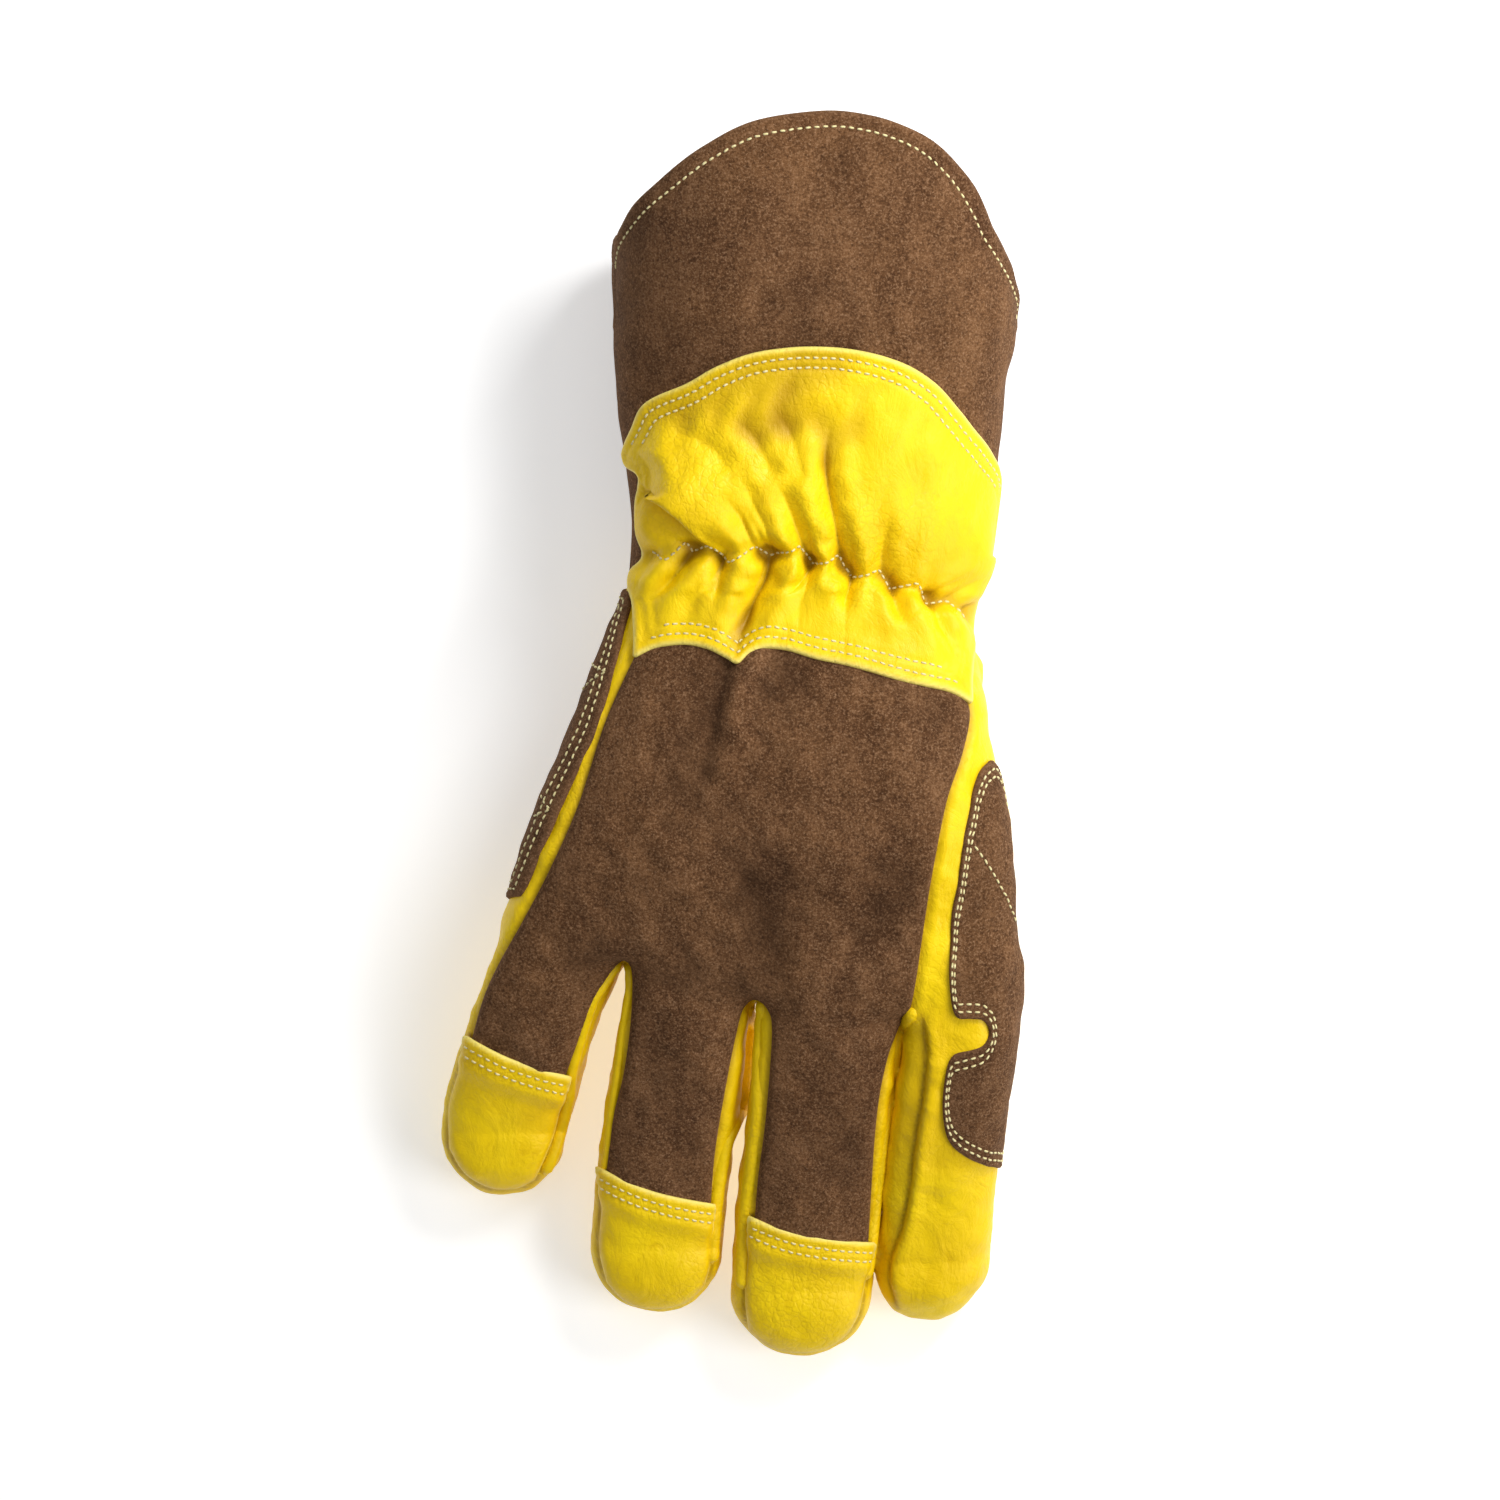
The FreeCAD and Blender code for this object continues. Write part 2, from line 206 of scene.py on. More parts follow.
def gloveBody(x, y, z):  # signed distance to the glove's skin, less than 0 inside
    front = np.interp(x, *np.array(knuckleLine).T) - y
    hand = softMax(arm.distance(x, y, z), front, 9)
    fingers = 1e3
    for name in fingerNames:
        root = y - digits[name]["rings"][-1][0]
        fingers = np.minimum(fingers, softMax(tubes[name].distance(x, y, z), root, 8))
    hand = softMin(hand, fingers, 6)
    thumb = softMax(tubes["thumb"].distance(x, y, z), y - 25, 6)
    return softMin(hand, thumb, 0.8 + 9 * fade((y + 2) / 14))


def field(points):
    return gloveBody(points[:, 0], points[:, 1], points[:, 2])


def outward(points, step=0.25):  # unit normals of the skin
    slope = np.empty_like(points)
    for i in range(3):
        shift = np.zeros(3)
        shift[i] = step
        slope[:, i] = field(points + shift) - field(points - shift)
    return slope / np.maximum(np.linalg.norm(slope, axis=1), 1e-9)[:, None]


def onTop(uv):  # plan position (x, y) dropped onto the skin from above
    z = np.full(len(uv), 92.0)
    for _ in range(22):
        z = np.maximum(z - gloveBody(uv[:, 0], uv[:, 1], z) * 0.85, 4)
    points = np.column_stack([uv, z])
    return points, outward(points)


# (around, y) position round an axis, thrown outwards onto the skin; around is 0 at the facing angle
class Wrap:
    turn = 50.0  # millimetres of around for each radian

    def __init__(self, axis, facing=90):
        self.axis, self.facing = axis, facing

    def __call__(self, uv):
        angle = math.radians(self.facing) - uv[:, 0] / self.turn
        middle, height = self.axis(uv[:, 1])
        way = np.column_stack([np.cos(angle), np.zeros(len(uv)), np.sin(angle)])
        start = np.column_stack([middle, uv[:, 1], height])
        far = np.full(len(uv), 30.0)
        for _ in range(16):
            far = np.clip(far - field(start + way * far[:, None]) * 0.85, 1, 90)
        points = start + way * far[:, None]
        return points, outward(points)

    def side(self, degrees, y):
        return [math.radians(self.facing - degrees) * self.turn, y]

    def sides(self, *places):
        return [self.side(*place) for place in places]

    def top(self, *plan):  # where plan points (x, y) on the upper side are, as (around, y)
        found = []
        for x, y in plan:
            angles = np.arange(-8, 189, 1.0)
            around = np.radians(self.facing - angles) * self.turn
            hit = self(np.column_stack([around, np.full(len(angles), float(y))]))[0][:, 0]
            found.append([np.interp(-x, -hit[8:-8], around[8:-8]), y])
        return found


# Outlines
def throughPoints(points, gap=1.0, smooth=True):  # evenly spaced points on a curve through these
    points = np.array(points, float)
    along = np.r_[0, np.cumsum(np.linalg.norm(np.diff(points, axis=0), axis=1))]
    if len(points) > 2 and smooth:
        fine = np.linspace(0, along[-1], max(3, int(along[-1] / 0.4)))
        ends = np.vstack([2 * points[0] - points[1], points, 2 * points[-1] - points[-2]])
        i = np.clip(np.searchsorted(along, fine) - 1, 0, len(points) - 2)
        t = ((fine - along[i]) / (along[i + 1] - along[i]))[:, None]
        a, b, c, d = ends[i], ends[i + 1], ends[i + 2], ends[i + 3]
        points = 0.5 * (2 * b + (c - a) * t + (2 * a - 5 * b + 4 * c - d) * t**2
            + (3 * b - a - 3 * c + d) * t**3)
        along = np.r_[0, np.cumsum(np.linalg.norm(np.diff(points, axis=0), axis=1))]
    count = max(2, int(round(along[-1] / gap)) + 1)
    at = np.linspace(0, along[-1], count)
    return np.column_stack([np.interp(at, along, points[:, i]) for i in range(points.shape[1])])


def closedOutline(*runs):  # each run is smooth, with a corner where it meets the next
    line = np.vstack([throughPoints(run)[:-1] for run in runs])
    after = np.roll(line, -1, axis=0)
    area = (line[:, 0] * after[:, 1] - after[:, 0] * line[:, 1]).sum()
    return line if area > 0 else line[::-1]


def nearest(points, line, closed=True):  # distance to a line, nearest place on it, and its index there
    tree = KDTree(len(line))
    for i, place in enumerate(line.tolist()):
        tree.insert((*place, 0), i)
    tree.balance()
    corner = np.array([tree.find((x, y, 0))[1] for x, y in points.tolist()])
    far, foot, index = np.full(len(points), 1e9), points * 0.0, np.zeros(len(points))
    for shift in (-1, 0):
        start = (corner + shift) % len(line) if closed else np.clip(corner + shift, 0, len(line) - 2)
        a, b = line[start], line[(start + 1) % len(line)]
        t = np.clip(((points - a) * (b - a)).sum(1) / ((b - a) ** 2).sum(1), 0, 1)
        place = a + (b - a) * t[:, None]
        gap = np.linalg.norm(points - place, axis=1)
        closer = gap < far
        far[closer], foot[closer], index[closer] = gap[closer], place[closer], (start + t)[closer]
    return far, foot, index


def inside(points, line):
    hit = np.zeros(len(points), bool)
    for (x0, y0), (x1, y1) in zip(line, np.roll(line, -1, axis=0)):
        if y0 != y1:
            crosses = (y0 > points[:, 1]) != (y1 > points[:, 1])
            hit ^= crosses & (points[:, 0] < (x1 - x0) * (points[:, 1] - y0) / (y1 - y0) + x0)
    return hit


def depthIn(points, line):  # how far inside an outline, less than 0 outside
    far, foot, _ = nearest(points, line)
    return np.where(inside(points, line), far, -far), foot


# Meshes
class Shape:
    def __init__(self, points, faces, marks=None, normals=None):
        self.points, self.faces, self.marks, self.normals = points, faces, marks or {}, normals

    def part(self, keep):  # the faces that keep says, for each list of faces, with only their points
        faces = [f[k] for f, k in zip(self.faces, keep)]
        used = np.unique(np.concatenate([f.ravel() for f in faces]))
        place = np.full(len(self.points), -1)
        place[used] = np.arange(len(used))
        marks = {n: m[used] for n, m in self.marks.items()}
        normals = None if self.normals is None else self.normals[used]
        return Shape(self.points[used], [place[f] for f in faces], marks, normals)

    def centres(self):
        return [self.points[f].mean(1) for f in self.faces]


def vertexNormals(points, faces):
    total = np.zeros_like(points)
    for f in faces:
        if len(f):
            cross = np.cross(points[f[:, 2]] - points[f[:, 0]], points[f[:, -1]] - points[f[:, 1]])
            for i in range(f.shape[1]):
                np.add.at(total, f[:, i], cross)
    return total / np.maximum(np.linalg.norm(total, axis=1), 1e-9)[:, None]


def makePiece(name, shape, finish):
    mesh = bpy.data.meshes.new(name)
    faces = [f for f in shape.faces if len(f)]
    mesh.vertices.add(len(shape.points))
    mesh.vertices.foreach_set("co", (shape.points * mm).ravel())
    loops = np.concatenate([f.ravel() for f in faces])
    sizes = np.concatenate([np.full(len(f), f.shape[1]) for f in faces])
    mesh.loops.add(len(loops))
    mesh.loops.foreach_set("vertex_index", loops)
    mesh.polygons.add(len(sizes))
    mesh.polygons.foreach_set("loop_start", np.r_[0, np.cumsum(sizes)[:-1]])
    mesh.update(calc_edges=True)
    mesh.validate()
    mesh.polygons.foreach_set("use_smooth", np.ones(len(mesh.polygons), bool))
    rest = mesh.attributes.new("restPlace", "FLOAT_VECTOR", "POINT")
    rest.data.foreach_set("vector", (shape.points * mm).ravel())
    for mark, values in shape.marks.items():
        mesh.attributes.new(mark, "FLOAT", "POINT").data.foreach_set("value", values.astype(np.float32))
    mesh.materials.append(finish)
    if shape.normals is not None:
        mesh.normals_split_custom_set_from_vertices(shape.normals.tolist())
    piece = bpy.data.objects.new(name, mesh)
    bpy.context.collection.objects.link(piece)
    return piece


def bendTo(piece):  # leather that starts on the hand and ends on a digit
    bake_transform(piece)


def bendAtWrist(piece):
    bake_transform(piece)


class Panel:
    # a cut piece of leather: an outline, a way to place it on the skin, its thickness and its relief
    rise = 0.45  # how much the face drops at the rim

    def __init__(self, outline, place, lift=0.9, thick=1.5, relief=None, step=0.9, shift=None,
        rimWide=0.5):
        self.outline, self.place, self.lift, self.thick = outline, place, lift, thick
        self.relief, self.step, self.shift, self.rimWide = relief, step, shift, rimWide

    def height(self, base, depth):
        rounded = np.sqrt(np.clip(1 - (1 - np.clip(depth / 1.3, 0, 1)) ** 2, 0, 1))
        over = self.lift - self.rise + self.rise * rounded
        return over if self.relief is None else over + self.relief(base, depth)

    def surface(self, uv):
        base, normal = self.place(uv)
        depth, _ = depthIn(uv, self.outline)
        top = base + normal * self.height(base, depth)[:, None]
        return top + self.shift(base, depth) if self.shift else top

    def shape(self):
        line, step = self.outline, self.step
        low, high = line.min(0) - step, line.max(0) + step
        gx, gy = np.meshgrid(*[np.arange(a, b, step) for a, b in zip(low, high)], indexing="ij")
        uv = np.column_stack([gx.ravel(), gy.ravel()])
        depth, foot = depthIn(uv, line)
        snap = np.abs(depth) <= step * 0.55
        uv[snap], depth[snap] = foot[snap], 0
        number = np.arange(len(uv)).reshape(gx.shape)
        cells = np.stack([number[:-1, :-1], number[1:, :-1], number[1:, 1:], number[:-1, 1:]],
            -1).reshape(-1, 4)
        within = depth[cells] >= 0
        quads = cells[within.all(1)]
        tris = [cells[(within.sum(1) == 3) & ~within[:, i]][:, [j for j in range(4) if j != i]]
            for i in range(4)]
        tris = np.vstack(tris)
        quads, tris = [f[self.flatArea(uv, f) > 0.04 * step**2] for f in (quads, tris)]
        used = np.unique(np.r_[quads.ravel(), tris.ravel()])
        place = np.full(len(uv), -1)
        place[used] = np.arange(len(used))
        quads, tris, uv, depth = place[quads], place[tris], uv[used], depth[used]
        base, normal = self.place(uv)
        top = base + normal * self.height(base, depth)[:, None]
        if self.shift:
            top = top + self.shift(base, depth)
        edges = np.vstack([f[:, [i, (i + 1) % f.shape[1]]] for f in (quads, tris)
            for i in range(f.shape[1])])
        key = np.sort(edges, axis=1)
        _, first, count = np.unique(key, axis=0, return_index=True, return_counts=True)
        rim = edges[first[count == 1]]
        ringPoints = np.unique(rim)
        ringPlace = np.full(len(uv), -1)
        ringPlace[ringPoints] = len(uv) + np.arange(len(ringPoints))
        out = self.rimDirection(top, normal, rim, ringPoints)
        shoulder = top[ringPoints] + out * 0.22 - normal[ringPoints] * (self.thick * 0.45)
        count = len(uv) + len(ringPoints)
        points = np.vstack([top, shoulder, top - normal * self.thick])
        sides = [np.column_stack([rim[:, 1], rim[:, 0], ringPlace[rim[:, 0]], ringPlace[rim[:, 1]]])]
        sides.append(np.column_stack([ringPlace[rim[:, 1]], ringPlace[rim[:, 0]],
            rim[:, 0] + count, rim[:, 1] + count]))
        allQuads = np.vstack([quads, *sides, quads[:, ::-1] + count])
        allTris = np.vstack([tris, tris[:, ::-1] + count])
        edge = np.r_[bell(depth, self.rimWide), np.ones(len(ringPoints)), np.ones(len(uv))]
        relief = self.height(base, depth) - self.lift
        # painted shade: a mark that darkens the colour where the relief sinks, in creases, seam dips and
        # hollows
        paintedShade = np.clip(-relief * 0.5, 0, 1) * (depth > 0.6)
        paintedShade = np.r_[paintedShade, np.zeros(len(ringPoints)), np.zeros(len(uv))]
        shape = Shape(points, [allQuads, allTris], {"edge": edge, "paintedShade": paintedShade})
        shape.normals = vertexNormals(points, shape.faces)
        return shape

    def flatArea(self, uv, faces):
        total = 0
        for i in range(faces.shape[1]):
            a, b = uv[faces[:, i]], uv[faces[:, (i + 1) % faces.shape[1]]]
            total = total + a[:, 0] * b[:, 1] - a[:, 1] * b[:, 0]
        return np.abs(total) / 2

    def rimDirection(self, top, normal, rim, ringPoints):
        total = np.zeros_like(top)
        along = top[rim[:, 1]] - top[rim[:, 0]]
        for i in (0, 1):
            np.add.at(total, rim[:, i], np.cross(along, normal[rim[:, i]]))
        out = total[ringPoints]
        return out / np.maximum(np.linalg.norm(out, axis=1), 1e-9)[:, None]

    def rows(self, depth, where):  # the outline moved in by depth, only where the condition holds
        line = self.insetAt(np.arange(0, len(self.outline), 0.5), depth)
        keep = where(line)
        if not keep.all():
            first = int(np.argmin(keep))
            line, keep = np.roll(line, -first, axis=0), np.roll(keep, -first)
        cuts = np.flatnonzero(np.diff(keep.astype(int))) + 1
        return [rowOn(self, part) for part, kept in zip(np.split(line, cuts),
            np.split(keep, cuts)) if kept[0] and len(part) > 8]

    def insetAt(self, index, depth):
        line = self.outline
        whole = np.floor(index).astype(int)
        t = (index - whole)[:, None]
        place = line[whole % len(line)] * (1 - t) + line[(whole + 1) % len(line)] * t
        run = np.roll(line, -2, axis=0) - np.roll(line, 2, axis=0)
        run = run[whole % len(line)] * (1 - t) + run[(whole + 1) % len(line)] * t
        run /= np.maximum(np.linalg.norm(run, axis=1), 1e-9)[:, None]
        moved = place + np.column_stack([-run[:, 1], run[:, 0]]) * depth
        gap = nearest(moved, line)[0]
        return moved[gap > depth - 0.35]


# Stitches: each one a short rounded thread that dips in at both ends
stitchMaker = {"length": 1.9, "gap": 0.5, "thick": 0.29, "sides": 6}


def stitchShape(rows):
    s = stitchMaker
    thick, length, sides = s["thick"], s["length"], s["sides"]
    steps = np.linspace(-1, 1, 7)
    swell = np.sqrt(np.clip(1 - np.abs(steps) ** 3.5, 0.03, 1))
    angles = np.arange(sides) * 2 * math.pi / sides
    points, quads, base = [], [], 0
    rng = np.random.default_rng(11)
    for row in rows:
        along = np.r_[0, np.cumsum(np.linalg.norm(np.diff(row, axis=0), axis=1))]
        pitch = length + s["gap"]
        count = int(along[-1] // pitch)
        if count < 1:
            continue
        for n in range(count):
            middle = (n + 0.5) * along[-1] / count
            at = np.clip(middle + steps * length / 2, 0, along[-1])
            line = np.column_stack([np.interp(at, along, row[:, i]) for i in range(6)])
            normal = line[:, 3:] / np.linalg.norm(line[:, 3:], axis=1)[:, None]
            tangent = line[-1, :3] - line[0, :3]
            side = np.cross(normal, tangent / max(np.linalg.norm(tangent), 1e-9))
            skew = rng.normal(0, 0.09) * steps[:, None] * side
            centre = line[:, :3] + skew + normal * (thick * 0.55 - (steps**4)[:, None] * thick * 1.3)
            for k in range(len(steps)):
                ring = (np.cos(angles)[:, None] * side[k] * thick * 1.1
                    + np.sin(angles)[:, None] * normal[k] * thick)
                points.append(centre[k] + ring * swell[k])
            for k in range(len(steps) - 1):
                a = base + k * sides + np.arange(sides)
                b = base + k * sides + (np.arange(sides) + 1) % sides
                quads.append(np.column_stack([a, b, b + sides, a + sides]))
            ends = np.arange(sides)
            quads.append(np.array([base + ends[[0, 3, 2, 1]], base + ends[[0, 5, 4, 3]]]))
            last = base + (len(steps) - 1) * sides
            quads.append(np.array([last + ends[[0, 1, 2, 3]], last + ends[[0, 3, 4, 5]]]))
            base += len(steps) * sides
    points = np.vstack(points)
    # painted shade at each stitch's ends, where the thread sinks into its hole
    sunkEndShade = np.tile(np.repeat(np.abs(steps) ** 3, sides), len(points) // (len(steps) * sides))
    return Shape(points, [np.vstack(quads)], {"paintedShade": sunkEndShade})


def rowOn(panel, uv):  # a row's places and normals on a panel's face
    uv = np.asarray(uv)
    nudge = 0.3
    place = panel.surface(uv)
    across = panel.surface(uv + [nudge, 0]) - panel.surface(uv - [nudge, 0])
    along = panel.surface(uv + [0, nudge]) - panel.surface(uv - [0, nudge])
    normal = np.cross(across, along)
    out = panel.place(uv)[1]
    normal *= np.sign((normal * out).sum(1))[:, None]
    return np.column_stack([place, normal / np.maximum(np.linalg.norm(normal, axis=1), 1e-9)[:, None]])


def cordShape(line, normals, radius, seed, sides=16, wobble=0.03):  # a rolled edge of leather
    tangent = np.gradient(line, axis=0)
    tangent /= np.linalg.norm(tangent, axis=1)[:, None]
    side = np.cross(normals, tangent)
    side /= np.linalg.norm(side, axis=1)[:, None]
    up = np.cross(tangent, side)
    angles = np.arange(sides) * 2 * math.pi / sides
    ends = np.minimum(np.arange(len(line)), np.arange(len(line))[::-1])
    swell = radius * np.sqrt(np.clip(ends / 3, 0.05, 1)) * (1 + wobble * ripple(line, 5, seed))
    ring = np.cos(angles)[None, :, None] * side[:, None] + np.sin(angles)[None, :, None] * up[:, None]
    points = (line[:, None] + ring * swell[:, None, None]).reshape(-1, 3)
    a = (np.arange(len(line) - 1)[:, None] * sides + np.arange(sides)).ravel()
    b = (np.arange(len(line) - 1)[:, None] * sides + (np.arange(sides) + 1) % sides).ravel()
    quads = np.column_stack([a, b, b + sides, a + sides])
    shape = Shape(points, [quads])
    shape.marks = {"edge": np.zeros(len(points)), "paintedShade": np.zeros(len(points))}
    return shape


# Finishes
class Wire:  # a shader socket that does arithmetic
    def __init__(self, maker, socket):
        self.maker, self.socket = maker, socket

    def sum(self, kind, *others):
        return self.maker.node("Math", {"operation": kind}, dict(enumerate(others)))

    def __add__(self, other):
        return self.sum("ADD", self, other)

    def __sub__(self, other):
        return self.sum("SUBTRACT", self, other)

    def __rsub__(self, other):
        return self.sum("SUBTRACT", other, self)

    def __mul__(self, other):
        return self.sum("MULTIPLY", self, other)

    __radd__, __rmul__ = __add__, __mul__


class Finish:
    def __init__(self, name, **constants):
        self.material = bpy.data.materials.new(name)
        self.material.use_nodes = True
        self.tree = self.material.node_tree
        self.shader = next(n for n in self.tree.nodes if n.type == "BSDF_PRINCIPLED")
        for socket, value in constants.items():
            self.shader.inputs[socket.replace("_", " ")].default_value = value
        self.place = self.node("Attribute", {"attribute_name": "restPlace"}, out="Vector")

    def node(self, kind, settings=None, sockets=None, out=0):
        made = self.tree.nodes.new("ShaderNode" + kind)
        for setting, value in (settings or {}).items():
            setattr(made, setting, value)
        for socket, value in (sockets or {}).items():
            if isinstance(value, Wire):
                self.tree.links.new(value.socket, made.inputs[socket])
            else:
                made.inputs[socket].default_value = value
        return Wire(self, made.outputs[out])

    # size in millimetres
    def noise(self, size, detail=3.0, roughness=0.55, stretch=None, distortion=0.0):
        place = self.place
        if stretch:
            place = self.node("Mapping", {}, {"Vector": place, "Scale": stretch})
        sockets = {"Vector": place, "Scale": 1000 / size, "Detail": detail, "Roughness": roughness}
        sockets["Distortion"] = distortion
        return self.node("TexNoise", {}, sockets)

    def wander(self, size, far):  # a random shift of up to about far millimetres
        sockets = {"Vector": self.place, "Scale": 1000 / size, "Detail": 2.0}
        colour = self.node("TexNoise", {}, sockets, out="Color")
        centred = self.node("VectorMath", {"operation": "SUBTRACT"}, {0: colour, 1: (0.5, 0.5, 0.5)},
            "Vector")
        return self.node("VectorMath", {"operation": "SCALE"}, {0: centred, "Scale": far * mm * 2},
            "Vector")

    def mark(self, name):
        return self.node("Attribute", {"attribute_name": name}, out="Fac")

    def band(self, wire, low, high, floor=0.0, ceiling=1.0):
        sockets = {"Value": wire, "From Min": low, "From Max": high, "To Min": floor, "To Max": ceiling}
        return self.node("MapRange", {"clamp": True}, sockets)

    def mix(self, factor, first, second):  # colours only
        settings = {"data_type": "RGBA", "blend_type": "MIX"}
        return self.node("Mix", settings, {0: factor, 6: first, 7: second}, out=2)

    def feed(self, **wires):
        for socket, wire in wires.items():
            self.tree.links.new(wire.socket, self.shader.inputs[socket.replace("_", " ")])

    def bump(self, height, depth, strength=1.0, under=None):  # depth in millimetres
        sockets = {"Height": height, "Distance": depth * mm, "Strength": strength}
        if under:
            sockets["Normal"] = under
        return self.node("Bump", {}, sockets)


def linear(red, green, blue):  # screen colour from 0 to 255, as a shader takes it
    channel = [c / 255 for c in (red, green, blue)]
    return (*[c / 12.92 if c <= 0.04045 else ((c + 0.055) / 1.055) ** 2.4 for c in channel], 1)


def makeSuede():
    f = Finish("brownSuede", Sheen_Weight=0.18, Sheen_Roughness=0.5, Sheen_Tint=linear(190, 150, 115))
    f.shader.inputs["Specular IOR Level"].default_value = 0.12
    patches = f.noise(38, 3, 0.6)
    brushed = f.noise(9, 5, 0.65, stretch=(1.0, 0.5, 1.0))
    nap = f.noise(1.35, 5, 0.78)
    fibre = f.noise(0.65, 3, 0.7)
    colour = f.mix(f.band(patches, 0.3, 0.7), linear(78, 48, 27), linear(112, 76, 46))
    colour = f.mix(f.band(brushed, 0.4, 0.7) * 0.5, colour, linear(138, 100, 68))
    colour = f.mix(f.band(brushed, 0.6, 0.3) * 0.45, colour, linear(58, 35, 18))
    colour = f.mix(f.band(nap, 0.5, 0.34) * 0.6, colour, linear(54, 32, 17))
    colour = f.mix(f.band(nap, 0.5, 0.68) * 0.45, colour, linear(150, 112, 80))
    colour = f.mix(f.band(fibre, 0.52, 0.72) * 0.6, colour, linear(176, 138, 104))
    colour = f.mix(f.band(fibre, 0.48, 0.3) * 0.6, colour, linear(38, 22, 11))
    colour = f.mix(f.mark("edge") * 0.35, colour, linear(124, 92, 66))
    # painted shade: darker brown where the leather sinks into creases, seams and hollows
    colour = f.mix(f.mark("paintedShade") * 0.55, colour, linear(44, 26, 14))
    rough = f.band(brushed, 0.3, 0.7, 0.86, 0.98)
    soft = f.bump(brushed, 0.9, 0.45)
    f.feed(Base_Color=colour, Roughness=rough, Normal=f.bump(nap * 0.7 + fibre * 0.45, 0.6, 0.85, soft))
    return f.material


def makeGrain():
    f = Finish("yellowGrain", IOR=1.48)
    f.shader.inputs["Specular IOR Level"].default_value = 0.3
    cloud = f.noise(34, 3, 0.5)
    blotch = f.noise(6, 5, 0.65)
    where = f.band(f.noise(48, 2, 0.5), 0.42, 0.62, 0.25, 1.0)  # the grain is coarser in some places
    cells = {"Vector": f.place, "Scale": 1000 / 1.25, "Randomness": 1.0, "Smoothness": 0.3}
    pebble = f.node("TexVoronoi", {"feature": "SMOOTH_F1"}, cells, "Distance")
    bent = f.node("VectorMath", {"operation": "ADD"}, {0: f.place, 1: f.wander(3.0, 0.7)}, "Vector")
    cells = {"Vector": bent, "Scale": 1000 / 2.3, "Randomness": 1.0}
    hide = f.node("TexVoronoi", {"feature": "DISTANCE_TO_EDGE"}, cells, "Distance")
    lines = f.band(hide, 0.0, 0.16)
    wrinkle = f.noise(8, 6, 0.66, stretch=(1.0, 0.5, 1.0), distortion=0.9)
    pores = f.noise(0.5, 2, 0.5)
    colour = f.mix(f.band(cloud, 0.3, 0.7), linear(243, 201, 0), linear(255, 219, 2))
    colour = f.mix(f.band(blotch, 0.55, 0.8) * 0.35, colour, linear(226, 180, 0))
    colour = f.mix(f.band(wrinkle, 0.42, 0.3) * 0.35, colour, linear(214, 166, 0))
    colour = f.mix((1 - lines) * where * 0.16, colour, linear(196, 150, 0))
    # painted shade: darker, browner yellow in creases, seam grooves and hollows
    colour = f.mix(f.mark("paintedShade") * 0.85, colour, linear(156, 112, 2))
    colour = f.mix(f.mark("edge") * 0.8, colour, linear(248, 232, 128))
    rough = f.band(wrinkle, 0.3, 0.7, 0.38, 0.54)
    coarse = f.bump(wrinkle, 1.3, 0.55)
    fine = f.bump((1 - pebble) * 0.5 * where + lines * 0.28 * where + pores * 0.12, 0.3, 0.65, coarse)
    f.feed(Base_Color=colour, Roughness=rough, Normal=fine)
    return f.material


def makeThread():
    f = Finish("creamThread", Sheen_Weight=0.2)
    twist = f.noise(0.6, 2, 0.5, stretch=(1.0, 2.5, 1.0))
    colour = f.mix(f.band(twist, 0.35, 0.65), linear(222, 206, 138), linear(246, 236, 182))
    # painted shade: the thread darkens at its ends, where it goes into the holes
    colour = f.mix(f.mark("paintedShade") * 0.8, colour, linear(96, 72, 18))
    f.feed(Base_Color=colour, Roughness=f.band(twist, 0.3, 0.7, 0.6, 0.75),
        Normal=f.bump(twist, 0.15, 0.6))
    return f.material


def makeCloth(name, light, dark, weave):  # weave is the yarns' spacing in millimetres
    f = Finish(name, Sheen_Weight=0.3)
    yarn = 1000 / weave / 6.2832 * 2
    across = f.node("TexWave", {"bands_direction": "X"}, {"Vector": f.place, "Scale": yarn,
        "Distortion": 1.5})
    along = f.node("TexWave", {"bands_direction": "Y"}, {"Vector": f.place, "Scale": yarn,
        "Distortion": 1.5})
    woven = across * 0.5 + along * 0.5
    worn = f.noise(14, 3, 0.6)
    colour = f.mix(f.band(woven, 0.2, 0.8) * 0.25 + f.band(worn, 0.3, 0.7) * 0.5 + 0.1, dark, light)
    f.feed(Base_Color=colour, Roughness=f.band(worn, 0.3, 0.7, 0.85, 0.97),
        Normal=f.bump(woven, 0.2, 0.5))
    return f.material


suede, grain, thread = makeSuede(), makeGrain(), makeThread()
canvas = makeCloth("cuffCanvas", linear(206, 196, 170), linear(150, 138, 112), 1.1)
fleece = makeCloth("handFleece", linear(216, 211, 198), linear(168, 160, 144), 1.6)
webbing = makeCloth("wovenElastic", linear(214, 208, 190), linear(150, 144, 128), 0.9)
print("finishes made")

# Places that pieces share
armWrap = Wrap(arm.axis)
armUnder = Wrap(arm.axis, facing=270)
indexSide = np.array([(-130, 61, 22), (-110, 63, 32), (-95, 64.5, 39), (-78, 66, 44.5), (-55, 64, 48),
    (-25, 60, 52), (10, 56, 48)])


def indexSideAxis(y):
    return np.interp(y, indexSide[:, 0], indexSide[:, 1]), np.interp(y, indexSide[:, 0], indexSide[:, 2])


indexWrap = Wrap(indexSideAxis, facing=30)


def across(points, start, end):  # signed distance from a line in plan, and how far along it from 0 to 1
    start, end = np.array(start, float), np.array(end, float)
    run = end - start
    length = np.linalg.norm(run)
    offset = points[:, :2] - start
    return (offset[:, 1] * run[0] - offset[:, 0] * run[1]) / length, offset @ run / length**2


# Back of the hand, brown suede, with its three finger backs
backPanelMaker = {"lift": 1.1, "valley": 2.6, "swell": 0.75, "seamDip": 0.6}


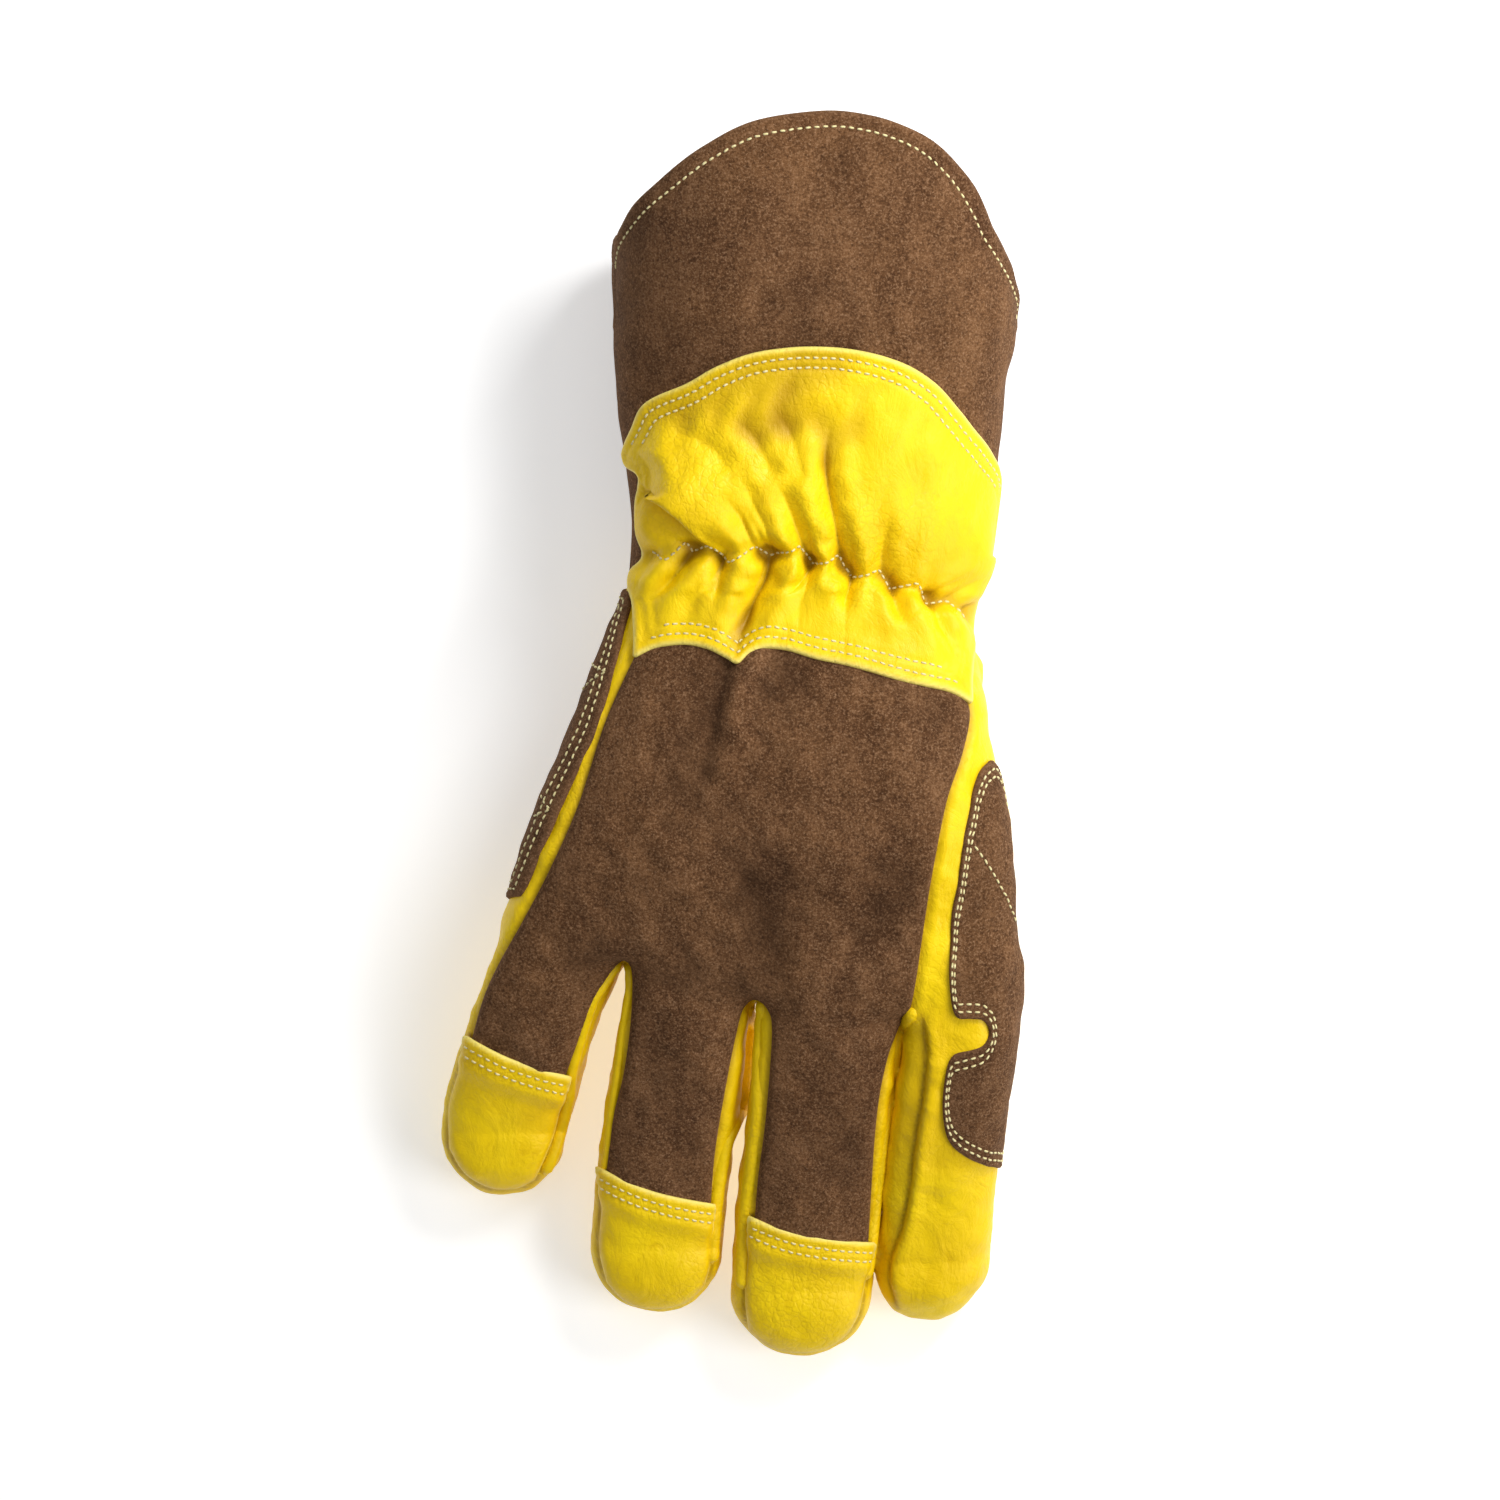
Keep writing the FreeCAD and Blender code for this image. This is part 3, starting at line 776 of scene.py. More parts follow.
def backRelief(base, depth):
    s = backPanelMaker
    swell = s["swell"] * ripple(base * [1, 0.7, 0], 30, 21) + 0.3 * ripple(base * [1, 1, 0], 11, 22)
    swell += 0.12 * ripple(base * [1, 1, 0], 5, 23)
    # the dent that runs on from the wrist's deepest gather
    off, along = across(base, (4.5, 34), (-9, -8))
    off = off + 1.2 * np.sin(along * 5)
    dip = np.where(off < 0, np.exp(off / 5.5), bell(off, 3.2))
    lip = 1.3 * bell(off - 5.5, 4)
    valley = (lip - s["valley"] * dip) * fade((1.3 - along) / 0.7) * fade((along + 0.3) / 0.2)
    off, along = across(base, (-2, -30), (16, -66))
    dent = -1.5 * bell(off, 8) * fade((1.2 - along) / 0.5) * fade((along + 0.2) / 0.5)
    off, along = across(base, (-40, -36), (52, -48))
    knuckles = 0.8 * bell(off, 12) * np.cos((base[:, 0] - 28) / 39 * 6.28)
    return (swell + valley + dent + knuckles) * fade(depth / 9) - s["seamDip"] * bell(depth, 1.1)


backOutline = closedOutline(
    [(-24, 31), (-27, 24.6), (-34.8, 7), (-42.6, -17), (-50.7, -35), (-58.7, -50), (-65.6, -62),
        (-70.6, -73), (-75.4, -90)],
    [(-75.4, -90), (-63, -97), (-49.5, -101)],
    [(-49.5, -101), (-46.9, -94.4), (-43.6, -86), (-38.3, -73), (-33, -64), (-29.8, -61.2),
        (-27.5, -64.5), (-27.8, -78), (-30, -94), (-33.4, -108), (-35.4, -123), (-36, -130)],
    [(-36, -130), (-21, -136), (-5.6, -139)],
    [(-5.6, -139), (-5, -131), (-3.7, -116), (-0.4, -96), (2.4, -82), (4.4, -75), (7.8, -72.4),
        (11.3, -75), (12.6, -82), (10.8, -107), (8.6, -125), (7.3, -143)],
    [(7.3, -143), (21, -148), (40.2, -151)],
    [(40.2, -151), (40.9, -138), (42.6, -107), (45.4, -90), (49, -80), (52, -73), (54.7, -56),
        (57.5, -37), (61.6, -16), (66.3, -2), (68.6, 10), (65, 17)],
    [(65, 17), (40, 27.5), (24, 31), (11, 33), (2.6, 30), (-6, 33.5), (-24, 31)],
)
backPanel = Panel(backOutline, onTop, lift=backPanelMaker["lift"], relief=backRelief)
backShape = backPanel.shape()


def fingerOf(points, edges=(-29.7, 7.8)):  # which finger back a plan place is on, or the hand
    bend = [digits[name]["bend"][0] for name in fingerNames[:3]]
    column = np.searchsorted(edges, points[:, 0])
    below = points[:, 1] < np.array(bend)[column] + 1.2
    return np.where(below, column, -1)


labels = [fingerOf(c) for c in backShape.centres()]
for i, name in enumerate(["hand"] + fingerNames[:3]):
    shape = backShape.part([label == i - 1 for label in labels])
    piece = makePiece("backPanel" if name == "hand" else f"{name}Back", shape, suede)
    if name == "hand":
        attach(piece, "hand")
        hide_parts("back_panel")
    else:
        bendTo(piece)
        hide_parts(f"{name}_back")
print("back panel made")

# Fingertips, yellow grain leather, lapped over the suede with two rows of stitches
tips = {
    "pinky": dict(
        lap=[(-74.9, -83.3), (-62.2, -89.5), (-46.2, -94.8)],
        around=[
            [(-46.2, -94.8), (-48, -104), (-51, -115), (-56.4, -127.4)],
            [(-56.4, -127), (-62, -129.7), (-69.5, -129.5), (-77.2, -125.2), (-81.9, -117.4)],
            [(-81.9, -117.4), (-82, -105), (-79, -95), (-74.9, -83.3)],
        ],
    ),
    "ring": dict(
        lap=[(-37, -121.6), (-22.7, -128), (-4.6, -132.4)],
        around=[
            [(-4.6, -132.4), (-4.6, -141), (-4.6, -150), (-6.6, -158)],
            [(-6.6, -158), (-12, -163.2), (-20, -165), (-29.4, -163.6), (-36, -157)],
            [(-36, -157), (-38.2, -146), (-37.4, -134), (-37, -121.6)],
        ],
    ),
    "middle": dict(
        lap=[(6.6, -135.6), (19.6, -140.4), (41.6, -143.8)],
        around=[
            [(41.6, -143.8), (40.8, -154), (38.4, -166)],
            [(38.4, -166), (35, -172), (29, -176.4), (21.5, -177.9), (12, -176.4), (5.4, -171.5)],
            [(5.4, -171.5), (4.4, -160), (5.2, -148), (6.6, -135.6)],
        ],
    ),
}
tipStitchRows = {}
for name, tip in tips.items():
    lapLine = throughPoints(tip["lap"])

    def tipRelief(base, depth, lapLine=lapLine):
        away = nearest(base[:, :2], lapLine, closed=False)[0]
        over = 1.5 * (1 - fade((away - 6.5) / 6))
        rows = -0.4 * (bell(away - 2.8, 0.7) + bell(away - 5.5, 0.7))
        seam = -1.0 * bell(depth, 1.3) * fade((away - 2) / 5)
        return over + rows + seam + 0.16 * ripple(base, 9, 31) * fade(depth / 3)

    panel = Panel(closedOutline(tip["lap"], *tip["around"]),
        onTop, lift=0.75, thick=1.2, relief=tipRelief, step=0.8)
    piece = makePiece(f"{name}Tip", panel.shape(), grain)
    bendTo(piece)
    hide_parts(f"{name}_tip")
    tipStitchRows[name] = []
    for depth in (2.8, 5.5):
        inward = lapLine - np.array([0, depth])
        keep = depthIn(inward, panel.outline)[0] > 0.6
        tipStitchRows[name].append(rowOn(panel, inward[keep]))
print("fingertips made")

# Cuff
cuffMaker = {"wave": 0.9, "hemDepth": 4.3}


def cuffSwell(base):
    swell = cuffMaker["wave"] * ripple(base * [1, 0.5, 1], 52, 41) + 0.3 * ripple(base, 15, 42)
    return swell * fade((base[:, 1] - 60) / 30)


def cuffRelief(base, depth):
    hem = -0.3 * bell(depth - cuffMaker["hemDepth"], 0.8) + 0.25 * (1 - fade((depth - 3) / 1.5))
    return cuffSwell(base) + hem * (base[:, 1] > 120)


def liningRelief(base, depth):
    return cuffSwell(base) - 2.2 * fade((104 - base[:, 1]) / 10)


crown = armWrap.top((-19, 160.5), (-6.3, 169), (8, 175.5), (27, 178.2), (40, 177), (50, 174), (59.6, 169),
    (68, 160.5), (73, 152), (77.4, 143))
crown = armWrap.sides((178, 141)) + crown + armWrap.sides((3, 127.5))
cuffOutline = closedOutline(
    crown,
    [crown[-1], armWrap.side(3, 50)],
    armWrap.sides((3, 50), (18, 52), (34, 82), (62, 98), (95, 102), (125, 96), (145, 82), (153, 58),
        (178, 50)),
    [armWrap.side(178, 50), crown[0]],
)
cuffBack = Panel(cuffOutline, armWrap, lift=0.0, thick=1.5, relief=cuffRelief, step=1.1)
piece = makePiece("cuffBack", cuffBack.shape(), suede)
bendAtWrist(piece)
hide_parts("cuff_back")
palmMouth = armUnder.sides((178.6, 141), (200, 150), (270, 151.5), (340, 140), (362.4, 127.5))
cuffPalmOutline = closedOutline(
    palmMouth,
    [palmMouth[-1], armUnder.side(362.4, 48)],
    armUnder.sides((362.4, 48), (178.6, 48)),
    [armUnder.side(178.6, 48), palmMouth[0]],
)
cuffPalm = Panel(cuffPalmOutline, armUnder, lift=0.0, thick=1.5, relief=cuffRelief, step=1.3)
piece = makePiece("cuffPalm", cuffPalm.shape(), suede)
bendAtWrist(piece)
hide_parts("cuff_palm")
hemRows = cuffBack.rows(cuffMaker["hemDepth"], lambda uv: uv[:, 1] > np.where(uv[:, 0] < 0, 136, 122))
hemRows += cuffPalm.rows(cuffMaker["hemDepth"], lambda uv: uv[:, 1] > np.where(uv[:, 0] > 0, 136, 122))
piece = makePiece("cuffHemStitches", stitchShape(hemRows), thread)
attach(piece, "cuff")
liningOutline = closedOutline(crown, [crown[-1], armWrap.side(3, 50)], armWrap.sides((3, 50), (178, 50)),
    [armWrap.side(178, 50), crown[0]])
for label, line, wrap in (("Back", liningOutline, armWrap), ("Palm", cuffPalmOutline, armUnder)):
    lining = Panel(line, wrap, lift=-1.65, thick=0.9, relief=liningRelief, step=2.2)
    piece = makePiece(f"cuffLining{label}", lining.shape(), canvas)
    bendAtWrist(piece)
    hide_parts("cuff_lining")
print("cuff made")

# Gathered wrist panel. Each crease is its line from the elastic outwards, its depth and its width
gatherMaker = {"puff": 2.3, "pinch": 2.7, "fold": 5.6, "pocket": 3.6, "overhang": 2.4}
gatherCreases = [
    ([(-20.8, 54), (-22.6, 49), (-24.2, 42)], 1.4, 1.5),
    ([(-9.6, 55.5), (-14.5, 48.5), (-21.4, 39.5)], 2.6, 1.7),
    ([(-1, 53), (-2.2, 46), (-3.2, 40)], 1.8, 1.5),
    ([(12.2, 54.5), (10.8, 47.7), (7.6, 41.4), (4.6, 34), (2.8, 27), (2.2, 22)], 3.8, 2.6),
    ([(24, 52), (21, 47.7), (16.6, 42.6)], 2.3, 1.6),
    ([(35, 48), (33.4, 42.4), (33, 37)], 2.3, 1.6),
    ([(46.4, 44.6), (47.9, 38.2), (50.8, 31)], 1.9, 1.6),
    ([(56.4, 40.8), (58.9, 33.5), (62.6, 25)], 1.7, 1.8),
    ([(65.2, 36), (67.5, 30)], 1.0, 1.5),
    ([(9, 55.5), (6.8, 60.3), (3.7, 66.6), (0.4, 71.5)], 2.2, 1.8),
    ([(13, 55), (11.4, 62), (7.4, 70), (4, 78)], 1.5, 1.6),
    ([(23.4, 53), (20.3, 60.3), (16.7, 69.8), (13.6, 76)], 1.8, 1.7),
    ([(32.6, 51), (30.6, 62), (28.4, 73), (27.6, 82.4), (29.4, 92)], 3.2, 2.2),
    ([(46.3, 45), (44, 50), (43.5, 56), (45.4, 67)], 1.5, 1.6),
    ([(56.2, 41), (55.8, 46.5), (58.4, 55)], 1.3, 1.5),
    ([(59.5, 41), (65.2, 45.6), (71.5, 50.5)], 1.5, 1.7),
    ([(-10.4, 60), (-15, 63.4), (-21.6, 66.6)], 1.0, 1.6),
    ([(-9, 57.5), (-13, 58.6), (-18, 58.4)], 1.0, 1.4),
    ([(0, 80), (-6, 86), (-14, 90)], 0.8, 2.0),
    ([(12, 79), (7, 88), (0, 94)], 0.8, 2.0),
    ([(21, 78), (18, 88), (12, 97)], 0.7, 2.0),
]
foldLine = [(-42, 76.6), (-30, 77.0), (-25.5, 76), (-20, 74), (-13.7, 69.6), (-8.2, 63.5), (-4.2, 58.4),
    (-1, 53.6), (0.6, 50)]
zigzagLine = [(-21, 56), (-16, 53.5), (-11.8, 58.4), (-10.2, 55.2), (-2.9, 58.6), (0.6, 52.8),
    (7.5, 57.8), (11.8, 53.8), (20.1, 57.8), (24.2, 51.8), (31.1, 54.7), (35.1, 48.1), (42.6, 50.9),
    (46, 44.6), (53, 47.5), (56.7, 40.6), (62, 41.6), (66, 36.5)]
elasticKnots = np.array([(-40, 58), (-22, 55.5), (-6, 56.6), (8, 55.8), (20, 54.6), (33, 51.2),
    (45, 47.6), (57, 43), (80, 34)])
gatherValleys = [-34, -23, -10.4, 0.6, 11.8, 24.2, 35.1, 46, 56.7, 66, 76]


def gatherRelief(base, depth):
    s = gatherMaker
    x, y = base[:, 0], base[:, 1]
    past = y - smoothThrough(elasticKnots[:, 0], elasticKnots[:, 1], np.clip(x, -39, 79))
    leanUp = np.interp(x, [-15, 2, 15, 29, 45, 62], [1.0, 0.6, 0.35, 0.13, -0.1, -0.9])
    leanDown = np.interp(x, [-20, 5, 40, 62], [-0.75, -0.4, -0.05, 0.4])
    source = x + np.where(past > 0, leanUp, leanDown) * np.clip(past, -16, 16)
    turn = np.interp(source, gatherValleys, np.arange(len(gatherValleys)))
    puff = np.sin(math.pi * (turn % 1)) ** 0.7 - 0.5
    reach = 7 + 3 * ripple(np.column_stack([np.floor(turn) * 30, 0 * x, 0 * x]), 17, 52)
    puff *= s["puff"] * np.where(past > 0, bell(past, 8.5), 0.8 * bell(past, reach + 9))
    height = puff - s["pinch"] * np.exp(-((np.abs(past) / 3.4) ** 1.6))
    height += 2.2 * bell(past + 11.5, 8) * (1 - fade((x - 62) / 8))
    height += 2.2 * bell(past - 15, 11)
    for line, deep, wide in gatherCreases:
        line = throughPoints(line)
        gap, _, index = nearest(base[:, :2], line, closed=False)
        strength = 1 - fade((index / len(line) - 0.45) / 0.6)
        wander = 1 + 0.25 * ripple(base * [1, 1, 0], 6, 55)
        height += deep * strength * (0.45 * bell(gap - 2.4 * wide, 1.4 * wide)
            - np.exp(-gap / wide * wander))
    line = throughPoints(foldLine)
    gap, foot, index = nearest(base[:, :2], line, closed=False)
    i = np.clip(index.astype(int), 0, len(line) - 2)
    above = np.sign(np.cross(line[i + 1] - line[i], base[:, :2] - line[i]))
    lip = np.clip(gap / 2.6, 0, 1)
    roll = s["fold"] * np.sqrt(lip * (2 - lip)) * bell(np.maximum(gap - 3, 0), 9)
    pocket = -s["pocket"] * bell(gap, 4.5)
    roll = roll * (0.3 + 0.7 * fade((x + 31) / 13))
    height += np.where(above > 0, roll, pocket) * fade((1.0 - index / len(line)) / 0.35)
    lobe = ((x + 18.5) / 7) ** 2 + ((y - 63) / 6.5) ** 2
    height += 1.8 * np.exp(-lobe)
    height += 0.3 * ripple(base * [1, 0.55, 0], 7, 53) + 0.4 * ripple(base * [1, 1.0, 0], 16, 54)
    height *= np.where(x > 40, fade((base[:, 2] - 36) / 14), 1)
    crownSide = past > 18
    settle = np.where(crownSide, fade((depth - 4) / 10), fade(depth / 6) * 0.7 + 0.3)
    rows = -0.42 * (bell(depth - 2.8, 0.7) + bell(depth - 5.6, 0.7))
    # it may not sink through the back's leather
    floor = np.where(crownSide, -3.6, -1.3 - 2.3 * fade((depth - 4) / 9))
    return softMax(height * settle, floor, 1.5) + rows * (np.abs(past) > 14) + cuffSwell(base)


def lipShift(base, depth):  # the big fold hangs over the pocket below it
    line = throughPoints(foldLine)
    gap, foot, index = nearest(base[:, :2], line, closed=False)
    i = np.clip(index.astype(int), 0, len(line) - 2)
    above = np.cross(line[i + 1] - line[i], base[:, :2] - line[i]) > 0
    way = (foot - base[:, :2]) / np.maximum(gap, 0.01)[:, None]
    far = gatherMaker["overhang"] * bell(gap - 2.0, 2.2) * above * fade((1.0 - index / len(line)) / 0.35)
    return np.column_stack([way * far[:, None] * fade(depth / 4)[:, None], np.zeros(len(base))])


wristOutline = closedOutline(
    armWrap.sides((167, 84), (160, 90.5)) + armWrap.top((-22.7, 97.6), (-11.5, 102.4), (-2.6, 107.2),
        (8.6, 111), (23.3, 112.4), (37.1, 111.4), (48.9, 108.2), (58.1, 102.7), (65, 95), (71, 87),
        (76, 79)) + armWrap.sides((3, 72)),
    armWrap.sides((3, 72), (-1, 60), (-1, 45), (3, 33)) + armWrap.top((68.6, 22), (68.4, 12)),
    armWrap.top((68.4, 12), (63, 15), (55.5, 16.9), (48, 18.7), (40.3, 21), (32.5, 23), (24.8, 24.6),
        (17, 27), (10.9, 27.6), (6.3, 26.2), (2.9, 23.4), (-0.6, 25), (-6, 27.6), (-12.2, 28.8),
        (-20, 27.8), (-26.2, 25)),
    armWrap.top((-26.2, 25), (-26, 33.5), (-26, 41), (-26.8, 46), (-26.4, 50.5), (-23.8, 54), (-24.4, 60),
        (-24.6, 66.5), (-24.6, 72)) + armWrap.sides((160, 77.5), (166, 80.5), (167, 84)),
)
wristPanel = Panel(wristOutline, armWrap, lift=2.3, thick=1.7, relief=gatherRelief, step=0.7,
    shift=lipShift, rimWide=0.7)
piece = makePiece("wristPanel", wristPanel.shape(), grain)
bendAtWrist(piece)
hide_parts("wrist_panel_cuff", "wrist_panel_hand")
leftAround, rightAround = armWrap.top((-26.1, 27))[0][0], armWrap.top((68.5, 14))[0][0]
rows = []
for depth in (2.8, 5.6):
    rows += wristPanel.rows(depth, lambda uv: (uv[:, 1] > 86) | ((uv[:, 0] > 0) & (uv[:, 1] > 74)))
    rows += wristPanel.rows(depth, lambda uv: (uv[:, 1] < 36.5) & (uv[:, 0] < rightAround - depth - 0.3)
        & (uv[:, 0] > leftAround + depth + 0.3))
zigzag = throughPoints(zigzagLine, 1.2, smooth=False)
rows.append(rowOn(wristPanel, throughPoints(armWrap.top(*zigzag), 0.5, smooth=False)))
piece = makePiece("wristStitches", stitchShape(rows), thread)
bendAtWrist(piece)
bandOutline = closedOutline(armWrap.sides((35, 44), (145, 51)), armWrap.sides((145, 51), (145, 59)),
    armWrap.sides((145, 59), (35, 52)), armWrap.sides((35, 52), (35, 44)))
piece = makePiece("wristElastic", Panel(bandOutline, armWrap, lift=-4.4, thick=0.8, step=1.2).shape(),
    webbing)
bendAtWrist(piece)
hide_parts("wrist_elastic")
print("wrist panel made")

# Side patches of suede
pinkyPatchOutline = closedOutline(
    armWrap.top((-27.4, 44), (-30.8, 28), (-36.8, 6.3), (-46.3, -15), (-53, -30), (-58.6, -42.6)),
    [armWrap.top((-58.6, -42.6))[0], armWrap.side(192, -44), armWrap.side(210, -41)],
    armWrap.sides((210, -41), (220, -25), (220, 0), (212, 26), (190, 46)),
    [armWrap.side(190, 46), armWrap.top((-27.4, 44))[0]],
)


patchMaker = {"lift": 1.5, "thick": 1.7, "rows": (2.1, 4.3)}


def patchRelief(base, depth):
    near, far = patchMaker["rows"]
    rows = -0.28 * (bell(depth - near, 0.7) + bell(depth - far, 0.7))
    return rows + 0.25 * ripple(base, 10, 61) * fade(depth / 5)


patchSettings = {"lift": patchMaker["lift"], "thick": patchMaker["thick"],
    "relief": patchRelief, "step": 0.8}
pinkyPatch = Panel(pinkyPatchOutline, armWrap, **patchSettings)
piece = makePiece("pinkySidePatch", pinkyPatch.shape(), suede)
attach(piece, "hand")
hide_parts("pinky_side_patch")
indexPatchOutline = closedOutline(
    indexWrap.top((74.4, -4), (71.6, -6.8), (69.4, -12.6), (68, -20), (66.4, -28), (65, -39), (63.4, -49),
        (63, -62), (63.6, -72), (65.2, -76.6), (68.8, -77), (72.6, -77.6), (74.4, -81), (72.8, -84.8),
        (68.8, -86.4), (64, -88.2), (62.2, -94), (61.6, -104), (63.4, -112.6), (68.6, -117.6),
        (74.4, -120.6)),
    indexWrap.top((74.4, -120.6)) + indexWrap.sides((0, -122), (-38, -120)),
    indexWrap.sides((-38, -120), (-46, -100), (-48, -80), (-42, -52), (-30, -36), (-6, -24), (10, -14),
        (20, -7)) + indexWrap.top((74.4, -4)),
)
indexPatch = Panel(indexPatchOutline, indexWrap, **patchSettings)
piece = makePiece("indexSidePatch", indexPatch.shape(), suede)
bendTo(piece)
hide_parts("index_side_patch_hand", "index_side_patch_finger")
print("side patches made")


# Stitches of the patches and fingertips
def wholeLoop(panel, depth):
    line = panel.insetAt(np.arange(0, len(panel.outline), 0.5), depth)
    return rowOn(panel, line)


def straightOn(panel, start, end):
    return rowOn(panel, throughPoints([start, end], 0.5))


pinkyRows = [wholeLoop(pinkyPatch, depth) for depth in patchMaker["rows"]]
for apex, arms in (((-33.8, 21), ((-38.3, 23.5), (-40.6, 15.6))), ((-49.6, -18.2), ((-52.6, -14),
    (-55.2, -20.5)))):
    for end in arms:
        pinkyRows.append(straightOn(pinkyPatch, *armWrap.top(apex, end)))
piece = makePiece("pinkyPatchStitches", stitchShape(pinkyRows), thread)
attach(piece, "hand")
indexRows = [wholeLoop(indexPatch, depth) for depth in patchMaker["rows"]]
indexRows.append(straightOn(indexPatch, *indexWrap.top((69, -27.6), (80.6, -50))))
piece = makePiece("indexPatchStitches", stitchShape(indexRows), thread)
bendTo(piece)
for name, rows in tipStitchRows.items():
    piece = makePiece(f"{name}TipStitches", stitchShape(rows), thread)
    bendTo(piece)
print("stitches made")

# Skin: palm leather, fourchettes, the index wrap and the thumb, one surface that is then divided

skinMaker = {"cell": 1.3, "seam": 0.8, "tuck": 1.5, "cuffLine": 51.5, "underBack": 2.4, "underWrist": 3}


def isoSurface(low, high, cell, level=0.0):
    xs, ys, zs = [np.arange(a, b, cell) for a, b in zip(low, high)]
    gx, gz = np.meshgrid(xs, zs, indexing="ij")
    values = np.stack([gloveBody(gx, y, gz) for y in ys], axis=1) - level
    sign = values < 0
    nx, ny, nz = [n - 1 for n in values.shape]
    total, count = np.zeros((nx, ny, nz, 3)), np.zeros((nx, ny, nz))
    corner = lambda a, dx, dy, dz: a[dx : dx + nx, dy : dy + ny, dz : dz + nz]
    for axis in range(3):
        step = np.eye(3, dtype=int)[axis]
        for i in (0, 1):
            for j in (0, 1):
                here = np.insert([i, j], axis, 0)
                a, b = corner(values, *here), corner(values, *(here + step))
                hit = (a < 0) != (b < 0)
                t = np.where(hit, a / np.where(hit, a - b, 1), 0)
                total += np.where(hit[..., None], here + step * t[..., None], 0)
                count += hit
    active = count > 0
    number = np.full(active.shape, -1)
    number[active] = np.arange(active.sum())
    places = np.argwhere(active) + total[active] / count[active][:, None]
    points = np.array([xs[0], ys[0], zs[0]]) + places * cell
    quads = []
    for axis in range(3):
        step = np.eye(3, dtype=int)[axis]
        one, two = np.eye(3, dtype=int)[(axis + 1) % 3], np.eye(3, dtype=int)[(axis + 2) % 3]
        inner = sign[1:-1, 1:-1, 1:-1]
        ahead = sign[tuple(slice(1 + s, -1 + s or None) for s in step)]
        for flip in (False, True):
            hit = np.argwhere((inner & ~ahead) if not flip else (~inner & ahead)) + 1
            ring = [hit, hit - one, hit - one - two, hit - two]
            quad = np.column_stack([number[tuple(r.T)] if len(r) else [] for r in ring]).astype(int)
            quads.append(quad[:, ::-1] if flip else quad)
    quads = np.vstack(quads)
    return points, quads[(quads >= 0).all(1)]


low, high = (-90, -184, -4), (90, 56, 84)
points, quads = isoSurface(low, high, skinMaker["cell"])
for i in range(3):
    points -= outward(points) * field(points)[:, None] * 0.8
smooth = outward(points)
print("skin", len(points), len(quads))


def skinRelief(points, normal):
    up = fade((normal[:, 2] - 0.05) / 0.3)
    plan = points[:, :2]
    gap = nearest(plan, backOutline)[0]
    groove = -skinMaker["seam"] * bell(gap, 1.3) + 0.4 * bell(gap - 2.6, 1.4)
    gap, _, index = nearest(plan, indexSeam, closed=False)
    i = np.clip(index.astype(int), 0, len(indexSeam) - 2)
    # more than 0 on the wrap
    side = np.sign(np.cross(indexSeam[i + 1] - indexSeam[i], plan - indexSeam[i])) * gap
    step = np.where(side > 0, 1.1 * bell(side - 2.2, 2.6), -1.1 * np.exp(-((side + 1.2) / 3.0) ** 2))
    ends = fade(index / 8) * fade((len(indexSeam) - 2 - index) / 6)
    sharp = -0.9 * bell(gap, 0.9)
    soft = 0.32 * ripple(points, 15, 71) + 0.12 * ripple(points, 6, 72)
    soft -= skinMaker["tuck"] * fade((points[:, 1] - 46.5) / 4)  # its top end tucks under the cuff
    for tip in tips.values():
        gap = nearest(plan, closedOutline(tip["lap"], *tip["around"]))[0]
        groove -= 0.9 * bell(gap, 1.1) * (plan[:, 1] < tip["lap"][0][1])
    return soft + (groove + (step + sharp) * ends) * up


indexSeam = throughPoints([(55.4, -76), (56.4, -87), (55.8, -98.4), (53.8, -112.7), (51.9, -130.5),
    (49.7, -141.2), (47.4, -148.3), (46.9, -155.4), (49.4, -164)])
points = points + smooth * skinRelief(points, smooth)[:, None]
# painted shade along the seam grooves: the back panel's edge, the index seam and the fingertip panels'
# edges
paintedShade = bell(nearest(points[:, :2], backOutline)[0], 0.9) * 0.8
paintedShade += bell(nearest(points[:, :2], indexSeam, closed=False)[0], 0.6) * 0.8
for tip in tips.values():
    paintedShade += bell(nearest(points[:, :2], closedOutline(tip["lap"], *tip["around"]))[0], 0.6) * 0.9
paintedShade = np.clip(paintedShade, 0, 1) * fade((smooth[:, 2] - 0.15) / 0.35)
skin = Shape(points, [quads], {"paintedShade": paintedShade, "edge": np.zeros(len(points))})
skin.normals = vertexNormals(points, [quads])
if (skin.normals * smooth).sum() < 0:
    skin = Shape(points, [quads[:, ::-1]], skin.marks, -skin.normals)
centre = skin.centres()[0]
facing = outward(centre)
covered = depthIn(centre[:, :2], backOutline)[0] > skinMaker["underBack"]
covered &= (facing[:, 2] > 0.1) & (centre[:, 2] > 8)
covered[covered] = centre[covered, 2] > onTop(centre[covered, :2])[0][:, 2] - 4
middle, height = arm.axis(centre[:, 1])
angle = np.arctan2(centre[:, 2] - height, centre[:, 0] - middle)
angle = np.where(angle < -math.pi / 2, angle + 2 * math.pi, angle)
around = np.column_stack([(math.pi / 2 - angle) * Wrap.turn, centre[:, 1]])
covered |= depthIn(around, wristOutline)[0] > skinMaker["underWrist"]
underCuff = centre[:, 1] > skinMaker["cuffLine"]
gaps = np.stack([tubes[n].distance(*centre.T) for n in digits])
owner = gaps.argmin(0)
bends = np.array([d["bend"][0] for d in digits.values()])
free = centre[:, 1] < bends[owner] + 1.5
free &= (owner != 4) | (centre[:, 2] < 27.5)
owner = np.where(free, owner, -1)
skinNames = {-1: "palmPanel", 0: "pinkySkin", 1: "ringSkin", 2: "middleSkin", 3: "indexWrap",
    4: "thumbSkin"}
stands = {
    -1: ["palm_panel", "thumb_saddle"],
    3: ["index_wrap", "index_fourchette"],
    4: ["thumb_front", "thumb_back"],
}
for i, name in enumerate(fingerNames[:3]):
    stands[i] = [f"{name}_front", f"{name}_fourchette_index_side", f"{name}_fourchette_pinky_side"]
